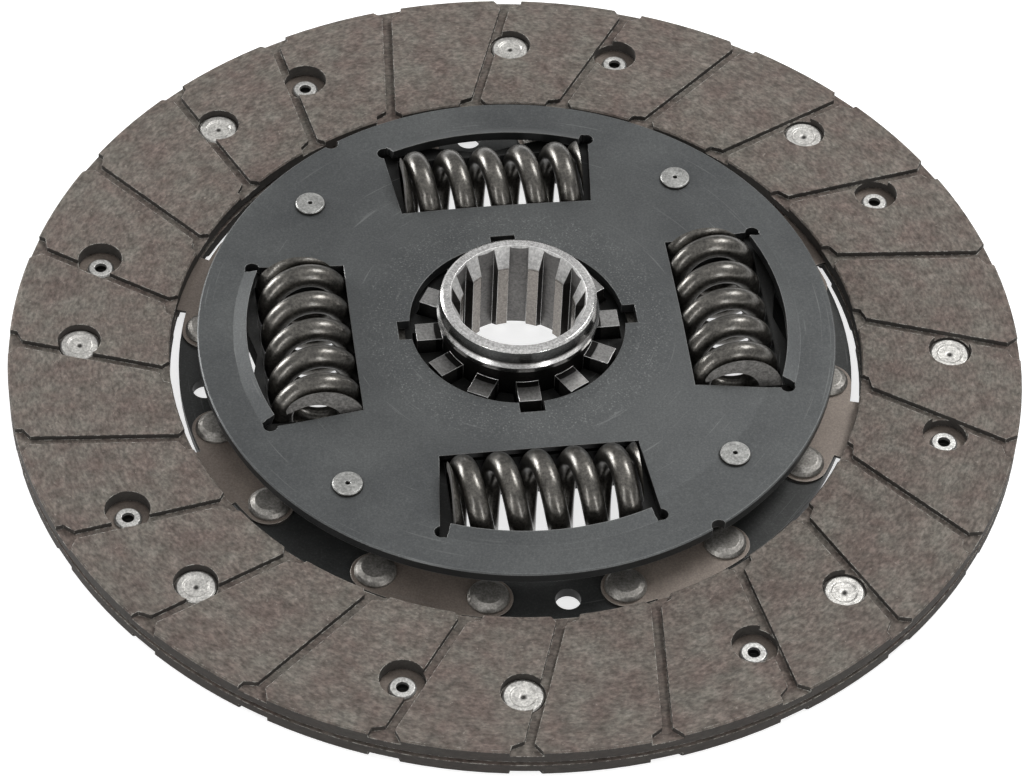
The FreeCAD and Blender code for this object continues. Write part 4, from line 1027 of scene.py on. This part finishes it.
def build_floor():
    """A round sheet of white paper whose border is turned up."""
    mesh = bmesh.new()
    bmesh.ops.create_circle(mesh, cap_ends=True, segments=FLOOR_SIDES, radius=FLOOR_RADIUS)
    border = [edge for edge in mesh.edges if edge.is_boundary]
    grown = bmesh.ops.extrude_edge_only(mesh, edges=border)
    raised = [item for item in grown["geom"] if isinstance(item, bmesh.types.BMVert)]
    bmesh.ops.translate(mesh, verts=raised, vec=(0, 0, SWEEP_HEIGHT))
    floor = linked("floor", mesh)
    material, tree, shader = new_material("floor_paper", 0.0, 0.9)
    shader.inputs["Base Color"].default_value = PAPER
    shader.inputs["Emission Color"].default_value = WHITE
    seen = add(tree, "ShaderNodeLightPath")
    mirrored = math_node(tree, "MAXIMUM", seen.outputs["Is Glossy Ray"], seen.outputs["Is Transmission Ray"])
    either = math_node(tree, "MAXIMUM", seen.outputs["Is Camera Ray"], mirrored)
    join(tree, math_node(tree, "MULTIPLY", either, PAPER_GLOW), shader.inputs["Emission Strength"])
    floor.data.materials.append(material)
    return floor


print("staged:", build_floor().name)

# %% [markdown]
# ## Light
# Black spring wire and a turned hub show what they mirror more than what they are lit by. So the
# sky is bright above and dark at the horizon, which rounds every coil, and four softboxes stand
# where each coil needs its highlights: one low on the left, one high behind on the right, and
# two tall strips in front, which draw the two long streaks down each coil and round the collar.

# %% Light
def build_sky(horizon, zenith):
    """A white sky whose strength grows from the horizon to the zenith."""
    world = bpy.data.worlds.new("studio")
    world.use_nodes = True
    tree = world.node_tree
    backdrop = tree.nodes["Background"]
    parts = add(tree, "ShaderNodeSeparateXYZ")
    join(tree, add(tree, "ShaderNodeTexCoord").outputs["Generated"], parts)
    join(tree, spread_to(tree, parts.outputs[2], horizon, zenith), backdrop.inputs["Strength"])
    backdrop.inputs["Color"].default_value = WHITE
    bpy.context.scene.world = world


def softbox(name, place, size, watts, aim=(0, 0, 0.01)):
    """A rectangular lamp that points at the disc."""
    lamp = bpy.data.lights.new(name, "AREA")
    lamp.shape = "RECTANGLE"
    lamp.size, lamp.size_y = size
    lamp.energy = watts
    item = bpy.data.objects.new(name, lamp)
    item.location = place
    item.rotation_euler = (Vector(aim) - Vector(place)).to_track_quat("-Z", "Y").to_euler()
    bpy.context.scene.collection.objects.link(item)
    return item


build_sky(horizon=0.12, zenith=0.95)
lamps = [softbox("high_right", (0.58, 0.42, 0.9), (0.45, 0.35), watts=7.0),
         softbox("low_left", (-1.05, 0.6, 0.24), (0.5, 0.4), watts=11.0),
         softbox("front_left", (-0.72, -0.98, 0.5), (0.1, 0.8), watts=4.2),
         softbox("front_right", (0.72, -0.98, 0.5), (0.1, 0.8), watts=4.2)]
print("softboxes:", [item.name for item in lamps])

# %% [markdown]
# ## Camera
# The camera stands in front and above, far back with a long lens, so that the circle stays close
# to an ellipse. Its distance and angles, a small roll and a small shift frame the disc as in the
# picture. The picture's width is the unit of the lens and of the shift.

# %% Camera
IMAGE_WIDTH, IMAGE_HEIGHT = 1024, 777
CENTRE_X, CENTRE_Y = 516.33, 344.76
FOCAL_LENGTH = 4040.9
SENSOR_WIDTH = 36.0
CAMERA_DISTANCE = 0.9106
CAMERA_ELEVATION = math.radians(47.58)
CAMERA_ROLL = math.radians(2.694)
FACE_HEIGHT = 8.6 * MM
NEAREST, FARTHEST = 0.05, 20.0

camera_data = bpy.data.cameras.new("camera")
camera_data.sensor_width = SENSOR_WIDTH
camera_data.lens = SENSOR_WIDTH * (FOCAL_LENGTH / IMAGE_WIDTH)
camera_data.shift_x = -(CENTRE_X - IMAGE_WIDTH / 2) / IMAGE_WIDTH
camera_data.shift_y = (CENTRE_Y - IMAGE_HEIGHT / 2) / IMAGE_WIDTH
camera_data.clip_start, camera_data.clip_end = NEAREST, FARTHEST
camera = bpy.data.objects.new("camera", camera_data)
back = Vector((0, -math.cos(CAMERA_ELEVATION), math.sin(CAMERA_ELEVATION)))
target = Vector((0, 0, FACE_HEIGHT))
facing = (-back).to_track_quat("-Z", "Y").to_matrix().to_4x4()
camera.matrix_world = (Matrix.Translation(target + back * CAMERA_DISTANCE) @ facing
                       @ Matrix.Rotation(CAMERA_ROLL, 4, "Z"))
bpy.context.scene.collection.objects.link(camera)
bpy.context.scene.camera = camera
bpy.context.scene.view_settings.view_transform = "Standard"
print("lens:", round(camera_data.lens, 1), "mm on a sensor of", SENSOR_WIDTH, "mm")
